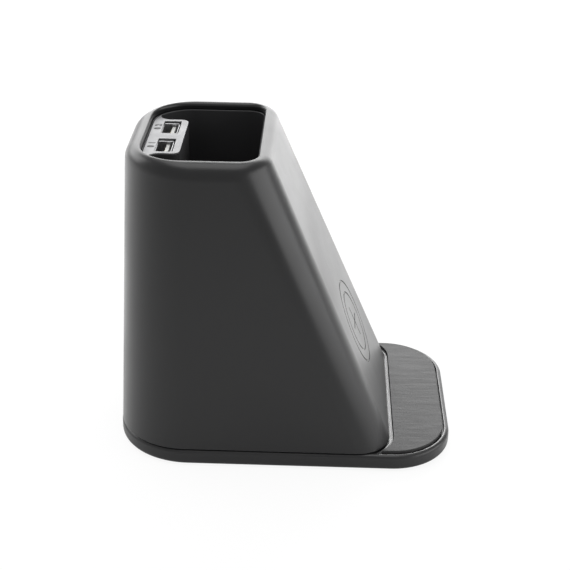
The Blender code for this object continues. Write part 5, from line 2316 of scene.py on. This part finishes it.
LAMPS = (
    Lamp("back_panel_low", (1.0, -0.2, 0.13), (1.1, 0.26), 2.5, (0.0, -0.2, 0.13)),
    Lamp("back_panel_middle", (1.0, 0.0, 0.41), (1.5, 0.30), 4.2, (0.0, 0.0, 0.41)),
    Lamp("back_panel_high", (1.0, 0.0, 0.75), (1.5, 0.34), 6.3, (0.0, 0.0, 0.055)),
    Lamp("table_light", (0.75, -0.18, 0.60), (0.35, 0.35), 0.4, (0.33, -0.12, 0.0), 60.0),
    Lamp("far_floor_light", (0.75, -0.15, 1.0), (0.4, 0.6), 2.6, (0.75, -0.15, 0.0), 60.0),
    Lamp("front_panel", (-0.25, -1.1, 0.32), (1.3, 0.62), 8.2),
    Lamp("top_softbox", (0.0, 0.05, 0.9), (0.7, 0.7), 4.2),
    Lamp("rear_strip", (0.45, 0.80, 0.40), (0.8, 0.5), 4.2),
)


@dataclass
class Studio:
    """A white table, soft lights and the camera at the photograph's angle."""

    azimuth: float = 1.67
    elevation: float = 26.44
    roll: float = 0.73
    distance: float = 0.50346
    target: tuple[float, float, float] = (0, 0.00114, 0.05612)
    focal_pixels: float = 1274.26
    image_pixels: int = 570
    sensor: float = 36.0
    clip: tuple[float, float] = (0.01, 20)
    floor_size: float = 6.0
    floor_colour: float = 0.85
    floor_roughness: float = 0.9
    floor_white: float = 0.9
    room_light: float = 0.54
    mirrored_white: float = 0.25
    lamps: tuple[Lamp, ...] = LAMPS

    def white_share(self, tree: bpy.types.NodeTree) -> Socket:
        """Finds how much of the white background a ray is shown.

        Args:
            tree: The node tree that asks.

        Returns:
            One for the camera and through glass, less in a reflection and zero for light.
        """
        ray = add_node(tree, "LightPath").outputs
        direct = {0: ray["Is Camera Ray"], 1: ray["Is Transmission Ray"]}
        direct = add_node(tree, "Math", direct, operation="MAXIMUM").outputs[0]
        mirrored = {0: ray["Is Glossy Ray"], 1: self.mirrored_white}
        mirrored = add_node(tree, "Math", mirrored, operation="MULTIPLY").outputs[0]
        return add_node(tree, "Math", {0: direct, 1: mirrored}, operation="MAXIMUM").outputs[0]

    def add_floor(self) -> None:
        """A pale floor that shows white, with the object's soft shadow kept on it."""
        bench = Bench("floor")
        bpy.ops.mesh.primitive_plane_add(size=self.floor_size, location=(0, 0, 0))
        floor = bench.take_off()
        mix = Recipe("white_table", self.floor_roughness)
        mix.set(Base_Color=(*[self.floor_colour] * 3, 1), Specular_IOR_Level=0.0)
        share = {0: self.white_share(mix.tree), 1: self.floor_white}
        share = mix.node("Math", share, operation="MULTIPLY").outputs[0]
        glow = mix.node("Emission", {"Color": (1, 1, 1, 1), "Strength": 1.0}).outputs[0]
        both = mix.node("MixShader", {0: share, 1: mix.shader.outputs[0], 2: glow}).outputs[0]
        mix.tree.links.new(both, mix.tree.nodes["Material Output"].inputs["Surface"])
        floor.data.materials.append(mix.material)

    def add_room(self) -> None:
        """A dim room that the camera sees as white."""
        world = bpy.data.worlds.new("room")
        bpy.context.scene.world = world
        world.use_nodes = True
        tree = world.node_tree
        levels = {"Value": self.white_share(tree), "To Min": self.room_light, "To Max": 1.0}
        level = add_node(tree, "MapRange", levels).outputs[0]
        back = tree.nodes["Background"]
        back.inputs["Color"].default_value = (1, 1, 1, 1)
        tree.links.new(level, back.inputs["Strength"])

    def add_camera(self) -> None:
        """The camera where the photograph was taken from."""
        bpy.ops.object.select_all(action="DESELECT")
        bpy.ops.object.camera_add()
        camera = bpy.context.object
        turn, lift = math.radians(self.azimuth), math.radians(self.elevation)
        level = -math.cos(lift)
        back = Vector((math.cos(turn) * level, math.sin(turn) * level, math.sin(lift)))
        camera.location = Vector(self.target) + back * self.distance
        camera.rotation_mode = "QUATERNION"
        camera.rotation_quaternion = (-back).to_track_quat("-Z", "Y")
        camera.rotation_quaternion.rotate(Quaternion(back, math.radians(self.roll)))
        camera.data.sensor_width = self.sensor
        camera.data.lens = self.focal_pixels * self.sensor / self.image_pixels
        camera.data.clip_start, camera.data.clip_end = self.clip
        bpy.context.scene.camera = camera

    def make(self) -> None:
        """Sets up the floor, the room, the lights and the camera."""
        self.add_floor()
        self.add_room()
        for lamp in self.lamps:
            lamp.hang()
        self.add_camera()
        bpy.context.scene.view_settings.view_transform = "Standard"


def main() -> None:
    """Builds each sub-assembly in order, dresses it and sets up the studio."""
    logging.basicConfig(level=logging.INFO, format="%(message)s")
    form, screws = HolderForm(), Fasteners()
    dock = SocketDock(form)
    Housing(form, screws).make()
    PenCup(form, dock).make()
    SocketPanel(form, dock).make()
    Base(form, screws).make()
    Underside(form, screws).make()
    screws.make()
    PowerInlet().make()
    ChargingCoil(form).make()
    InnerLeads(form).make()
    KeptNodes().dress()
    Studio().make()


if __name__ == "__main__":
    main()
